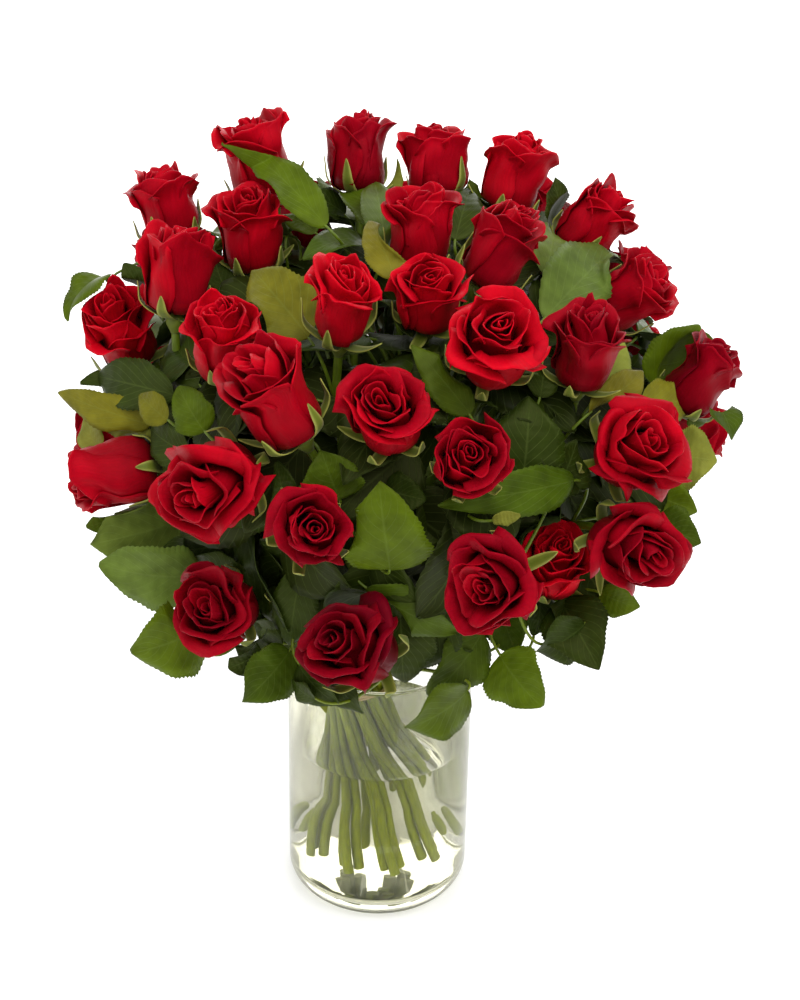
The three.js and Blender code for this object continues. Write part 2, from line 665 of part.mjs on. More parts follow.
// The points of the stems where a leaf may be rooted, the best first: near, not used yet, and
// reached without passing through a bloom.
const ROOTING = { tries: 12, usedCost: 25, throughCost: 60, bloomShare: 0.55 };
function rootsFor(leafBase, members) {
  const roots = members.flatMap((stem) => stem.knots.map((knot) => {
    const line = new THREE.Line3(knot.point, leafBase);
    let cost = knot.point.distanceTo(leafBase) + ROOTING.usedCost * knot.used;
    for (const { middle, wide } of blooms) {
      const nearest = line.closestPointToPoint(middle, true, new THREE.Vector3());
      if (nearest.distanceTo(middle) < wide * ROOTING.bloomShare) cost += ROOTING.throughCost;
    }
    return { knot, cost };
  }));
  return roots.sort((a, b) => a.cost - b.cost);
}

// A leaf joins the node that its blade crosses, or else the nearest one that its stalk
// reaches without crossing another.
function attachLeaf(wanted) {
  const leaf = settleLeaf(wanted);
  const base = clearOfBlooms(leaf.base.clone());
  const near = base.clone().lerp(leaf.tip, -LEAF.overrun);
  const [host] = crossedBy(piece(leafSolid({ ...leaf, base, root: near })));
  const roots = rootsFor(base, (host ? [host] : nodes).flatMap((node) => node.members));
  const tries = roots.slice(0, ROOTING.tries).map(({ knot }) => {
    const added = piece(leafSolid({ ...leaf, base, root: knot.point }));
    return { knot, added, met: crossedBy(added) };
  });
  const { knot, added, met } = tries.find((each) => (
    each.met.length === 1 && (!host || each.met[0] === host)
  )) ?? tries[0];
  knot.used += 1;
  fuse(met, [added]);
}

// ---- the leaves
SEEN_LEAFLETS.forEach(([baseX, baseY, tipX, tipY, wide, baseUnder, tipUnder], i) => {
  const base = onDome(baseX, baseY, -baseUnder);
  const tip = onDome(tipX, tipY, -tipUnder);
  const normal = domeNormal(base.clone().lerp(tip, 0.5)).sub(VIEW_FORWARD).normalize();
  attachLeaf({ base, tip, normal, wide, seed: 3000 + i, shape: LEAFLET });
});

BACK_LEAVES.forEach(({ count, polar, from, to, length, wide }, ring) => {
  const draw = seededDraws(70 + ring);
  for (let i = 0; i < count; i += 1) {
    const evenly = from + ((to - from) * i) / (count - 1);
    const round = evenly + draw(-LEAF_SCATTER.round, LEAF_SCATTER.round);
    const swung = round + draw(-LEAF_SCATTER.swing, LEAF_SCATTER.swing);
    const base = domePoint(polar - LEAF_REACH.baseAbove, round, -LEAF_REACH.baseUnder);
    const heading = domePoint(polar + LEAF_REACH.tipBelow, swung, -LEAF_REACH.tipUnder);
    const tip = base.clone().lerp(heading, length / base.distanceTo(heading));
    const normal = domeNormal(base);
    attachLeaf({ base, tip, normal, wide, seed: 4000 + 100 * ring + i, shape: THREE_LEAFLETS });
  }
});

// ---- materials
const material = (color, roughness, extra = {}) => (
  new THREE.MeshStandardMaterial({ color, roughness, metalness: 0, ...extra })
);
const CLEAR_GLASS = material("#e6efe6", 0.05, { transparent: true, opacity: 0.35 });
const CLEAR_WATER = material("#dfe8d8", 0.03, { transparent: true, opacity: 0.5 });
const RAFFIA = material("#b59b62", 0.8);
const PETALS = material("#a80a1c", 0.55);
const GREENS = material("#47631f", 0.5);

const bouquet = new THREE.Group();
function addPart(name, solid, finish) {
  const mesh = new THREE.Mesh(geometryOf(solid), finish);
  mesh.name = name;
  bouquet.add(mesh);
}

// ---- the vase
function cornerArc(middleX, middleZ, radius, fromDegrees, toDegrees, steps) {
  return Array.from({ length: steps + 1 }, (_, i) => {
    const a = THREE.MathUtils.degToRad(fromDegrees + ((toDegrees - fromDegrees) * i) / steps);
    return [middleX + radius * Math.cos(a), middleZ + radius * Math.sin(a)];
  });
}

const inside = VASE.radius - VASE.wall;
const insideCorner = VASE.corner - VASE.wall;
const outsideCentre = VASE.radius - VASE.corner;
const insideCentre = inside - insideCorner;
addPart("vase_glass", turned([
  [0, 0],
  ...cornerArc(outsideCentre, VASE.corner, VASE.corner, -90, 0, VASE.outerSteps),
  [VASE.radius, VASE.height - VASE.lip],
  [VASE.radius - VASE.lip, VASE.height],
  [inside + VASE.lip, VASE.height],
  [inside, VASE.height - VASE.lip],
  ...cornerArc(insideCentre, VASE.base + insideCorner, insideCorner, 0, -90, VASE.innerSteps),
  [0, VASE.base],
], VASE.sides), CLEAR_GLASS);

// ---- the blooms
const bloomSolids = blooms.map((bloom) => bloomSkin(bloom, 0));
bloomSolids.forEach((solid, i) => {
  addPart(`bloom_${String(i + 1).padStart(2, "0")}`, solid, PETALS);
});

// ---- the leafy stems: what would still reach into a bloom is cut back to leave a small gap
const bloomSpace = wasm.Manifold.union(blooms.map((bloom) => bloomSkin(bloom, CLEARANCE)));
nodes.forEach(({ pieces }, g) => {
  const fused = wasm.Manifold.union(pieces.map(({ solid }) => solid));
  const name = `leafy_stems_${String(g + 1).padStart(2, "0")}`;
  addPart(name, outerSkin(fused.subtract(bloomSpace).simplify(FINEST)), GREENS);
});

// ---- the tie: cord wound round the waist, one turn over the other
const waistRadius = WAIST.outerRing + WAIST.pressed + STEM.radius + TIE.gap;
const tieOutline = [[waistRadius, WAIST.z - TIE.height / 2]];
for (let k = 0; k < TIE.turns; k += 1) {
  const low = WAIST.z - TIE.height / 2 + (TIE.height * k) / TIE.turns;
  tieOutline.push([waistRadius + TIE.cord, low + TIE.height / TIE.turns / 2]);
  if (k + 1 < TIE.turns) tieOutline.push([waistRadius + TIE.cord / 2, low + TIE.height / TIE.turns]);
}
tieOutline.push([waistRadius, WAIST.z + TIE.height / 2], tieOutline[0]);
const tie = turned(tieOutline, TIE.sides).translate([WAIST.x, WAIST.y, 0]);
addPart("binding_tie", tie, RAFFIA);

// ---- the water, with a plain hole for every stem, tapered as the stem is
const holeSpace = CLEARANCE / Math.cos(Math.PI / STEM.sides);
function stemHole({ waist, foot }) {
  const upTo = WATER.level + WATER.holeRise;
  const taper = (upTo - foot) / (waist.z - foot);
  const top = straightStem(waist, upTo);
  const low = straightStem(waist, foot);
  const direction = top.clone().sub(low).normalize();
  low.addScaledVector(direction, -CLEARANCE);
  const topRadius = THREE.MathUtils.lerp(STEM.footRadius, STEM.radius, taper);
  return skin([
    ringAround(low, direction, STEM.footRadius + holeSpace, STEM.sides),
    ringAround(top, direction, topRadius + holeSpace, STEM.sides),
  ]);
}

const wet = inside - CLEARANCE;
const wetBase = VASE.base + CLEARANCE;
addPart("water", turned([
  [0, wetBase],
  ...cornerArc(wet - insideCorner, wetBase + insideCorner, insideCorner, -90, 0, VASE.innerSteps),
  [wet, WATER.level],
  [0, WATER.level],
], VASE.sides).subtract(wasm.Manifold.union(stems.map(stemHole))), CLEAR_WATER);

export default bouquet;
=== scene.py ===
import math
import bpy
from mathutils import Matrix, Vector


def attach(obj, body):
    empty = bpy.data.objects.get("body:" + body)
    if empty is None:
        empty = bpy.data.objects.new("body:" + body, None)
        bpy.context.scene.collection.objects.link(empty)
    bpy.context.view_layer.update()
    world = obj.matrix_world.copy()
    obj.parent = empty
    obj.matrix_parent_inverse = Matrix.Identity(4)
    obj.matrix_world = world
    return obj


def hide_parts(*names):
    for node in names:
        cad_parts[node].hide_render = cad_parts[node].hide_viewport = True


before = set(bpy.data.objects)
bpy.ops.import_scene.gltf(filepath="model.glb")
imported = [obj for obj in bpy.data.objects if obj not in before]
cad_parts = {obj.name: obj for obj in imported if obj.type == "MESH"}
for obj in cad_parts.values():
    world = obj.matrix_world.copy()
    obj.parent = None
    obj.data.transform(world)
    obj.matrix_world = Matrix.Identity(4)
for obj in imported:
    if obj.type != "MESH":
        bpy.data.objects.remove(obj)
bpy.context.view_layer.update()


# ---- The viewpoint.
# A camera with a long lens looks down on the bunch from the front, a little turned on its
# axis. The blooms and leaves that it sees are placed along its lines of sight.
MM = 0.001
VIEW_PITCH = 0.531
VIEW_ROLL = 0.021
VIEW_DISTANCE = 1207.0
VIEW_FOCAL = 2321.0
VIEW_SIZE = (800, 1000)
VIEW_TARGET = Vector((8.8, 0.0, 243.2))
SENSOR = 36.0

forward = Vector((0.0, math.cos(VIEW_PITCH), -math.sin(VIEW_PITCH)))
rightward = Vector((1.0, 0.0, 0.0))
upward = rightward.cross(forward)
eye = VIEW_TARGET - forward * VIEW_DISTANCE
image_right = rightward * math.cos(VIEW_ROLL) + upward * math.sin(VIEW_ROLL)
image_up = upward * math.cos(VIEW_ROLL) - rightward * math.sin(VIEW_ROLL)


def put(name, data):
    """An object made of some data, in the scene."""
    made = bpy.data.objects.new(name, data)
    bpy.context.scene.collection.objects.link(made)
    return made


def sight_line(px, py):
    """The direction of the line of sight through a pixel."""
    across = px - VIEW_SIZE[0] / 2
    down = py - VIEW_SIZE[1] / 2
    return (forward * VIEW_FOCAL + image_right * across - image_up * down).normalized()


camera_data = bpy.data.cameras.new("camera")
camera_data.sensor_width = SENSOR
camera_data.lens = VIEW_FOCAL * SENSOR / VIEW_SIZE[1]
camera = put("camera", camera_data)
turn = Matrix((image_right, image_up, -forward)).transposed().to_4x4()
camera.matrix_world = Matrix.Translation(eye * MM) @ turn
bpy.context.scene.camera = camera


# ---- The table and the light.
# A sheet of matt white acrylic that runs out of sight, lit weakly from below, in soft light from
# a large window in front and above, a weaker one from the left, and a bright wall behind that
# shines through the vase.
TABLE_REACH = 6000
ROOM_LIGHT = 0.8
MOST_BOUNCES = 96
MOST_CLEAR_SKINS = 24


def linear(hex_colour):
    """An sRGB hex colour as linear red, green, blue and an alpha of one."""
    parts = [int(hex_colour[i:i + 2], 16) / 255 for i in (1, 3, 5)]
    return [p / 12.92 if p <= 0.04045 else ((p + 0.055) / 1.055) ** 2.4 for p in parts] + [1.0]


def add_node(tree, kind, settings=(), links=()):
    """Adds a node, sets its properties or its inputs by name or number, and links each input to
    the first output of another node, or to the output that a pair of a node and a name gives."""
    node = tree.nodes.new(kind)
    for key, value in dict(settings).items():
        if isinstance(key, str) and hasattr(node, key):
            setattr(node, key, value)
        else:
            node.inputs[key].default_value = value
    for key, source in dict(links).items():
        source, output = source if isinstance(source, tuple) else (source, 0)
        tree.links.new(source.outputs[output], node.inputs[key])
    return node


def new_material(name):
    """A material and its empty node tree."""
    material = bpy.data.materials.new(name)
    material.use_nodes = True
    material.node_tree.nodes.clear()
    return material, material.node_tree


def clouds(tree, size, detail):
    """Soft patches of a size in millimetres, all through a piece."""
    place = add_node(tree, "ShaderNodeTexCoord")
    return add_node(tree, "ShaderNodeTexNoise", {"Scale": 1 / (size * MM), "Detail": detail},
                    {"Vector": (place, "Object")})


def coat(tree, settings, colour, height=None, strength=0.4, depth=0.3):
    """Ends a material in an opaque coat of a colour, with the relief of a height whose depth is
    in millimetres."""
    links = {"Base Color": colour}
    if height is not None:
        links["Normal"] = add_node(tree, "ShaderNodeBump",
                                   {"Strength": strength, "Distance": depth * MM}, {"Height": height})
    shader = add_node(tree, "ShaderNodeBsdfPrincipled", settings, links)
    add_node(tree, "ShaderNodeOutputMaterial", {}, {"Surface": shader})


def mesh_piece(name, points, faces, materials):
    """A smooth object from points in millimetres and faces, placed at the origin."""
    mesh = bpy.data.meshes.new(name)
    mesh.from_pydata([tuple(c * MM for c in p) for p in points], [], faces)
    mesh.update()
    mesh.polygons.foreach_set("use_smooth", [True] * len(mesh.polygons))
    for material in materials:
        mesh.materials.append(material)
    return put(name, mesh)


def soft_light(name, place, aim, size, watts):
    """A square soft light in millimetres that faces the aim."""
    data = bpy.data.lights.new(name, "AREA")
    data.size = size * MM
    data.energy = watts
    lamp = put(name, data)
    lamp.rotation_euler = (Vector(aim) - Vector(place)).to_track_quat("-Z", "Y").to_euler()
    lamp.location = Vector(place) * MM


# Matt acrylic sheet: even and white, with a faint mottle, and its own weak glow.
board, tree = new_material("matt white acrylic sheet")
paint = add_node(tree, "ShaderNodeMix", {"data_type": "RGBA", 6: linear("#f7f7f5"), 7: linear("#fbfbfa")},
                 {0: clouds(tree, 40, 3)})
coat(tree, {"Roughness": 0.8, "Specular IOR Level": 0.2,
            "Emission Color": linear("#ffffff"), "Emission Strength": 0.2}, (paint, 2))
corners = [(x * TABLE_REACH, y * TABLE_REACH, 0) for x, y in ((-1, -1), (1, -1), (1, 1), (-1, 1))]
table = mesh_piece("table", corners, [(0, 1, 2, 3)], [board])

world = bpy.data.worlds.new("white room")
world.use_nodes = True
world.node_tree.nodes["Background"].inputs["Color"].default_value = linear("#ffffff")
world.node_tree.nodes["Background"].inputs["Strength"].default_value = ROOM_LIGHT
bpy.context.scene.world = world
bpy.context.scene.view_settings.view_transform = "Standard"
# Light that comes down through the water's surface is mirrored along the wall many times.
for limit in ("max_bounces", "transmission_bounces", "glossy_bounces"):
    setattr(bpy.context.scene.cycles, limit, MOST_BOUNCES)
bpy.context.scene.cycles.transparent_max_bounces = MOST_CLEAR_SKINS

soft_light("window", (350, -700, 1700), (0, 0, 200), 1500, 30)
soft_light("fill", (-1500, -700, 900), (0, 0, 200), 1200, 8)
soft_light("bright wall behind", (0, 1500, 600), (0, 60, 0), 1600, 18)


# ---- The vase.
# A plain cylinder of clear soda glass with a thick base, pressed in a mould and fire polished:
# rounded rim, round lower corner, and walls that wander a little in thickness.
VASE_RADIUS = 50.0
VASE_HEIGHT = 155.0
VASE_WALL = 3.0
VASE_BASE = 8.0
VASE_CORNER = 13.0
VASE_SIDES = 128
FOOT_DISH = 0.8
FOOT_RING = 3.0
OLIVE_BELOW = 7
OLIVE_FROM = 43.5
OLIVE_FULL = 47


def arc(middle, radius, start, end, steps):
    """Points of an arc, as radius and height, from start to end in degrees."""
    angles = [math.radians(start + (end - start) * i / steps) for i in range(steps + 1)]
    return [(middle[0] + radius * math.cos(a), middle[1] + radius * math.sin(a)) for a in angles]


def turned(outline, sides):
    """Points and faces of a shape turned round the Z axis from its outline, which runs from
    the axis back to it, the outside first from below."""
    rings = outline[1:-1]
    points = [(0, 0, outline[0][1])]
    for radius, height in rings:
        for j in range(sides):
            a = 2 * math.pi * j / sides
            points.append((radius * math.cos(a), radius * math.sin(a), height))
    last = len(points)
    points.append((0, 0, outline[-1][1]))
    faces = []
    for j in range(sides):
        k = (j + 1) % sides
        faces.append((0, 1 + k, 1 + j))
        for i in range(len(rings) - 1):
            low = 1 + i * sides
            faces.append((low + j, low + k, low + sides + k, low + sides + j))
        top = 1 + (len(rings) - 1) * sides
        faces.append((top + j, top + k, last))
    return points, faces


def clear_body(tree, body, body_links, shadow=(), shadow_links=()):
    """Ends a clear material: what is seen through its body is bent, and lamps shine straight
    through it, tinted as the shadow says."""
    body = add_node(tree, "ShaderNodeBsdfPrincipled",
                    {"Roughness": 0.0, "Specular Tint": linear("#b4b4b4"),
                     "Transmission Weight": 1.0, **body}, body_links)
    straight = add_node(tree, "ShaderNodeBsdfTransparent", shadow, shadow_links)
    rays = add_node(tree, "ShaderNodeLightPath")
    mix = add_node(tree, "ShaderNodeMixShader", {}, {0: (rays, "Is Shadow Ray"), 1: body, 2: straight})
    add_node(tree, "ShaderNodeOutputMaterial", {}, {"Surface": mix})


# Soda glass: clear in the wall, and greyer where it is seen edge on, partly for the longer way
# through it and partly as painted shade for its dark edges. Round the corner of the thick base it
# is olive, as that is seen through much more of it, and a darker olive still as painted shade for
# the shadowed table and dark surroundings mirrored there. It bends what stands behind it.
soda_glass, tree = new_material("clear soda glass, fire polished")
ripple = add_node(tree, "ShaderNodeBump", {"Strength": 0.25, "Distance": 0.4 * MM},
                  {"Height": clouds(tree, 28, 1)})
place = add_node(tree, "ShaderNodeTexCoord")
level = add_node(tree, "ShaderNodeSeparateXYZ", {}, {0: (place, "Object")})
low = add_node(tree, "ShaderNodeMapRange", {"From Min": VASE_CORNER * MM, "From Max": OLIVE_BELOW * MM},
               {"Value": (level, "Z")})
plan = add_node(tree, "ShaderNodeVectorMath", {"operation": "MULTIPLY", 1: (1, 1, 0)},
                {0: (place, "Object")})
out = add_node(tree, "ShaderNodeVectorMath", {"operation": "LENGTH"}, {0: plan})
edge = add_node(tree, "ShaderNodeMapRange",
                {"From Min": OLIVE_FROM * MM, "From Max": OLIVE_FULL * MM}, {"Value": (out, "Value")})
thick_and_shaded_corner = add_node(tree, "ShaderNodeMath", {"operation": "MULTIPLY"}, {0: low, 1: edge})
wall = add_node(tree, "ShaderNodeMix",
                {"data_type": "RGBA", 6: linear("#f5f5f0"), 7: linear("#e4e4e0")}, {0: low})
# Partly painted shade: the wall is greyed where it is seen edge on, more than its longer way through the
# glass would give.
slant = add_node(tree, "ShaderNodeLayerWeight", {"Blend": 0.5})
grazed = add_node(tree, "ShaderNodeMapRange", {"From Min": 0.6, "From Max": 1.0},
                  {"Value": (slant, "Facing")})
wall = add_node(tree, "ShaderNodeMix", {"data_type": "RGBA", 7: linear("#6f7060")},
                {0: grazed, 6: (wall, 2)})
# Painted shade: the outer low corner is darkened to a deep olive, which is only partly the thick glass's
# own tint.
depth = add_node(tree, "ShaderNodeMix", {"data_type": "RGBA", 7: linear("#2a2c0c")},
                 {0: thick_and_shaded_corner, 6: (wall, 2)})
# Lamps' light through that corner is dimmed as well, so the table is darker just under it.
dimmed = add_node(tree, "ShaderNodeMix",
                  {"data_type": "RGBA", 6: linear("#f6f6f1"), 7: linear("#77775a")}, {0: thick_and_shaded_corner})
clear_body(tree, {"IOR": 1.5}, {"Base Color": (depth, 2), "Normal": ripple},
           shadow_links={"Color": (dimmed, 2)})

inside = VASE_RADIUS - VASE_WALL
inner_corner = VASE_CORNER - VASE_WALL
foot = VASE_RADIUS - VASE_CORNER
vase_outline = [(0, FOOT_DISH), (foot - 2 * FOOT_RING, FOOT_DISH), (foot - FOOT_RING, 0)]
vase_outline += arc((foot, VASE_CORNER), VASE_CORNER, -90, 0, 16)
vase_outline += arc((VASE_RADIUS - VASE_WALL / 2, VASE_HEIGHT - VASE_WALL / 2), VASE_WALL / 2, 0, 180, 12)
vase_outline += arc((inside - inner_corner, VASE_BASE + inner_corner), inner_corner, 0, -90, 12)
vase_outline += [(0, VASE_BASE)]
vase = mesh_piece("vase", *turned(vase_outline, VASE_SIDES), [soda_glass])
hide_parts("vase_glass")
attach(vase, "root")


# ---- The water.
# Still water to three fifths of the vase's height. It wets the glass and climbs it a little at the
# edge. Its skin lies just inside the glass, so that no air shows between the two.
WATER_LEVEL = 95.0
MENISCUS = 2.2
MENISCUS_FALL = 1.4
WETTED = 0.15

# Water: clear and hardly yellowed, with a skin that is never quite flat, so that the stems
# break at it.
pond, tree = new_material("still clear water")
ripple = add_node(tree, "ShaderNodeBump", {"Strength": 0.3, "Distance": 0.3 * MM},
                  {"Height": clouds(tree, 12, 2)})
clear_body(tree, {"IOR": 1.333, "Base Color": linear("#faf9ee")}, {"Normal": ripple},
           {"Color": linear("#f9f9f1")})

wet = inside + WETTED
wet_base = VASE_BASE - WETTED
wet_corner = inner_corner + WETTED
water_outline = [(0, wet_base)]
water_outline += arc((inside - inner_corner, wet_base + inner_corner + WETTED), wet_corner, -90, 0, 12)
water_outline += [(wet, WATER_LEVEL + MENISCUS)]
for x in (0.4, 1, 2, 3, 5):
    water_outline.append((inside - x, WATER_LEVEL + MENISCUS * math.exp(-MENISCUS_FALL * x)))
water_outline += [(0, WATER_LEVEL)]
water = mesh_piece("water_fill", *turned(water_outline, VASE_SIDES), [pond])
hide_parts("water")
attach(water, "root")


# ---- The dome of roses: where each one is.
# The heads lie on a flattened dome: each seen one at its pixel, and seeded ones in rings that
# finish the back.

# A row has the pixel of a head's middle, its width, the way that its face turns in the picture
# (degrees anticlockwise from the right), how far it faces away from the viewer (degrees), how
# far it has opened, its lift off the dome, and how bright its red is. That brightness is partly
# the head's own tone and partly painted light and shade: heads low in the bunch are darker, and
# a head set deep in the dome is made brighter against its shade.
DOME_CENTRE = Vector((10.0, 0.0, 291.0))
DOME_RADIUS = 152.0
DOME_RISE = 114.0
SEEN_ROSES = [
    (256, 155, 44, 110, 65, 0.5, 0, 0.80), (358, 152, 38, 92, 80, 0.3, 0, 0.55),
    (436, 158, 36, 100, 78, 0.3, 0, 0.75), (516, 172, 38, 75, 72, 0.4, 0, 0.85),
    (166, 203, 40, 100, 70, 0.5, 0, 0.65), (249, 228, 44, 95, 55, 0.6, -3, 0.80),
    (177, 268, 42, 88, 72, 0.3, 5, 0.75), (420, 226, 38, 90, 60, 0.4, 0, 0.70),
    (503, 245, 42, 60, 65, 0.4, 0, 0.60), (596, 220, 42, 50, 70, 0.5, 0, 0.75),
    (122, 328, 48, 110, 38, 0.6, 0, 0.95), (343, 300, 42, 85, 50, 0.6, 4, 1.00),
    (430, 295, 38, 85, 40, 0.6, -8, 0.85), (634, 292, 40, 35, 65, 0.5, -4, 0.65),
    (223, 338, 40, 95, 42, 0.5, -6, 0.85), (494, 342, 49, 80, 28, 0.8, 6, 0.85),
    (584, 345, 41, 85, 52, 0.5, 0, 0.45), (271, 393, 50, 125, 58, 0.5, 6, 0.70),
    (388, 411, 45, 95, 30, 0.7, 0, 0.65), (703, 375, 40, 55, 72, 0.4, 0, 0.35),
    (470, 461, 39, 90, 12, 0.5, 0, 0.50), (637, 448, 52, 30, 25, 0.9, 0, 0.70),
    (112, 474, 40, 188, 80, 0.2, 0, 0.65), (213, 485, 54, 215, 30, 0.9, 4, 0.65),
    (311, 530, 43, 45, 15, 0.7, 0, 0.40), (490, 583, 50, 200, 22, 0.9, 4, 0.45),
    (555, 562, 40, 90, 25, 0.6, -30, 0.95), (634, 548, 50, 330, 28, 0.8, 6, 0.45),
    (217, 607, 47, 160, 25, 0.7, 0, 0.40), (353, 648, 52, 150, 30, 0.8, 0, 0.25),
]
BACK_RINGS = [
    {"count": 5, "polar": 60, "from": 122, "to": 238, "wide": 43, "open": 0.6, "raised": 0.2},
    {"count": 7, "polar": 97, "from": 106, "to": 262, "wide": 46, "open": 0.7, "raised": 0.1},
]
TALL_BUD = 1.12
TALL_LOST = 0.22


def seeded_draws(seed):
    """A function that draws evenly spread numbers between two bounds, the same each run."""
    state = seed

    def draw(low, high):
        nonlocal state
        state = (state * 1664525 + 1013904223) % 2 ** 32
        return low + (high - low) * state / 2 ** 32
    return draw


def on_dome(px, py, lift):
    """Where a line of sight meets the dome raised by lift, or comes nearest to it."""
    line = sight_line(px, py)
    size = (DOME_RADIUS + lift, DOME_RADIUS + lift, DOME_RISE + lift)
    origin = Vector([(e - c) / s for e, c, s in zip(eye, DOME_CENTRE, size)])
    slope = Vector([d / s for d, s in zip(line, size)])
    a, b, c = slope.dot(slope), 2 * origin.dot(slope), origin.dot(origin) - 1
    reach = (-b - math.sqrt(max(b * b - 4 * a * c, 0))) / (2 * a)
    return eye + line * reach


def dome_point(polar, round_angle, lift):
    """A point of the dome by its angle from the top and its angle round from the front."""
    p, r = math.radians(polar), math.radians(round_angle)
    across = (DOME_RADIUS + lift) * math.sin(p)
    offset = Vector((across * math.sin(r), -across * math.cos(r), (DOME_RISE + lift) * math.cos(p)))
    return DOME_CENTRE + offset


def dome_normal(point):
    """The way out of the dome at a point."""
    x, y, z = point - DOME_CENTRE
    return Vector((x / DOME_RADIUS ** 2, y / DOME_RADIUS ** 2, z / DOME_RISE ** 2)).normalized()


def across_axis(axis):
    """Two directions that make a right-handed frame with the axis."""
    hint = Vector((0, 0, 1)) if abs(axis.z) < 0.9 else Vector((0, 1, 0))
    side = hint.cross(axis).normalized()
    return side, axis.cross(side)


roses = []
for px, py, wide, turned_by, away, opened, lift, bright in SEEN_ROSES:
    t, f = math.radians(turned_by), math.radians(away)
    axis = rightward * (math.sin(f) * math.cos(t)) + upward * (math.sin(f) * math.sin(t))
    axis -= forward * math.cos(f)
    roses.append({"middle": on_dome(px, py, lift), "axis": axis, "wide": wide,
                  "open": opened, "bright": bright})
for number, ring in enumerate(BACK_RINGS):
    draw = seeded_draws(40 + number)
    for i in range(ring["count"]):
        round_angle = ring["from"] + (ring["to"] - ring["from"]) * i / (ring["count"] - 1) + draw(-4, 4)
        polar = ring["polar"] + draw(-5, 5)
        middle = dome_point(polar, round_angle, draw(-4, 4))
        axis = dome_normal(middle)
        axis.z += ring["raised"] + draw(-0.1, 0.1)
        wide = ring["wide"] + draw(-4, 4)
        roses.append({"middle": middle, "axis": axis.normalized(), "wide": wide,
                      "open": ring["open"] + draw(-0.2, 0.2), "bright": 0.5})
for number, rose in enumerate(roses):
    rose["tall"] = rose["wide"] * (TALL_BUD - TALL_LOST * rose["open"])
    rose["base"] = rose["middle"] - rose["axis"] * (rose["tall"] / 2)
    rose["seed"] = number


# ---- The rose heads.
# Each head is twenty thin petals in layers on one small seat: the outer ones stand round the
# belly and roll over at the rim to a blunt point, and the inner ones wrap round each other
# into a coil.

# A layer has its count of petals, the share of the head's radius and height that its rims
# reach, half its petals' width in degrees, how far its rims roll over in degrees, and the
# lean of its walls past upright in degrees.
LAYERS = [
    {"count": 5, "reach": 0.88, "rise": 0.82, "half": 54, "roll": 110, "lean": 3},
    {"count": 4, "reach": 0.76, "rise": 0.92, "half": 62, "roll": 90, "lean": -3},
    {"count": 4, "reach": 0.58, "rise": 0.98, "half": 64, "roll": 62, "lean": -6},
    {"count": 3, "reach": 0.41, "rise": 1.00, "half": 82, "roll": 45, "lean": -8},
    {"count": 2, "reach": 0.26, "rise": 0.98, "half": 118, "roll": 25, "lean": -8},
    {"count": 2, "reach": 0.13, "rise": 0.95, "half": 120, "roll": 10, "lean": -6},
]
SEAT = 5.0
SEAT_LEAN = 84
ACROSS = [i / 6 - 1 for i in range(13)]
ALONG = [0, 0.1, 0.22, 0.35, 0.48, 0.6, 0.7, 0.78, 0.84, 0.885, 0.925, 0.965, 1.0]
PETAL_THICK = 0.45
PROUD = 0.15
OFF_CENTRE = 0.15
PHASE = (0, 6.28)


def varied(tree, colour, value, between, shares):
    """A colour made darker or lighter, from one share to another, as a value rises between two
    bounds."""
    share = add_node(tree, "ShaderNodeMapRange",
                     {"From Min": between[0], "From Max": between[1],
                      "To Min": shares[0], "To Max": shares[1]}, {"Value": value})
    return add_node(tree, "ShaderNodeVectorMath", {"operation": "SCALE"}, {0: colour, "Scale": share})


# Rose petal: velvety with fine veins that fan out from the seat, with painted shade that makes it
# deep crimson low down, towards the seat inside the head, and brighter towards the rim, and with
# the soft sheen of its tiny cones.
petal_skin, tree = new_material("rose petal, velvety crimson")
vein_map = add_node(tree, "ShaderNodeUVMap", {"uv_map": "petal"})
upwards = add_node(tree, "ShaderNodeSeparateXYZ", {}, {0: vein_map})
stretch = add_node(tree, "ShaderNodeMapping", {"Scale": (22.0, 1.6, 1.0)}, {"Vector": vein_map})
fan = add_node(tree, "ShaderNodeTexNoise", {"Scale": 1.0, "Detail": 3.0, "Roughness": 0.6},
               {"Vector": stretch})
# Each head's red is set by its brightness, which is partly its own tone and partly painted light and
# shade.
tone_and_shade = add_node(tree, "ShaderNodeAttribute", {"attribute_name": "bright"})
deep = add_node(tree, "ShaderNodeMix",
                {"data_type": "RGBA", 6: linear("#450211"), 7: linear("#b80418")}, {0: (tone_and_shade, "Fac")})
# Painted shade: each petal is darkened towards its seat, deep inside the head.
red = varied(tree, (deep, 2), (upwards, "Y"), (0.1, 0.9), (0.45, 1.0))
red = varied(tree, red, fan, (0.3, 0.75), (0.86, 1.06))
red = varied(tree, red, clouds(tree, 14, 2), (0.3, 0.7), (0.8, 1.1))
relief = add_node(tree, "ShaderNodeMath", {"operation": "MULTIPLY_ADD", 1: 0.25},
                  {0: clouds(tree, 0.7, 2), 2: fan})
coat(tree, {"Roughness": 0.5, "Specular IOR Level": 0.2, "Specular Tint": linear("#ff5a66"),
            "Sheen Weight": 0.05, "Sheen Roughness": 0.4, "Sheen Tint": linear("#ff3040"),
            "Subsurface Weight": 0.12, "Subsurface Radius": (1.0, 0.1, 0.1),
            "Subsurface Scale": 1.2 * MM}, red, relief, 0.5, 0.35)


def smooth_step(low, high, value):
    """Rises smoothly from nought at low to one at high."""
    t = min(max((value - low) / (high - low), 0), 1)
    return t * t * (3 - 2 * t)


def petal_line(lean, roll):
    """Distances out and heights along a petal's middle line: nearly flat out from its seat,
    up the belly, and over at the rim."""
    out, up, line = 0.0, 0.0, [(0.0, 0.0)]
    for here, there in zip(ALONG, ALONG[1:]):
        at = (here + there) / 2
        angle = SEAT_LEAN + (lean - SEAT_LEAN) * smooth_step(0, 0.36, at)
        angle += roll * smooth_step(0.76, 1.0, at)
        out += math.sin(math.radians(angle)) * (there - here)
        up += math.cos(math.radians(angle)) * (there - here)
        line.append((out, up))
    return line


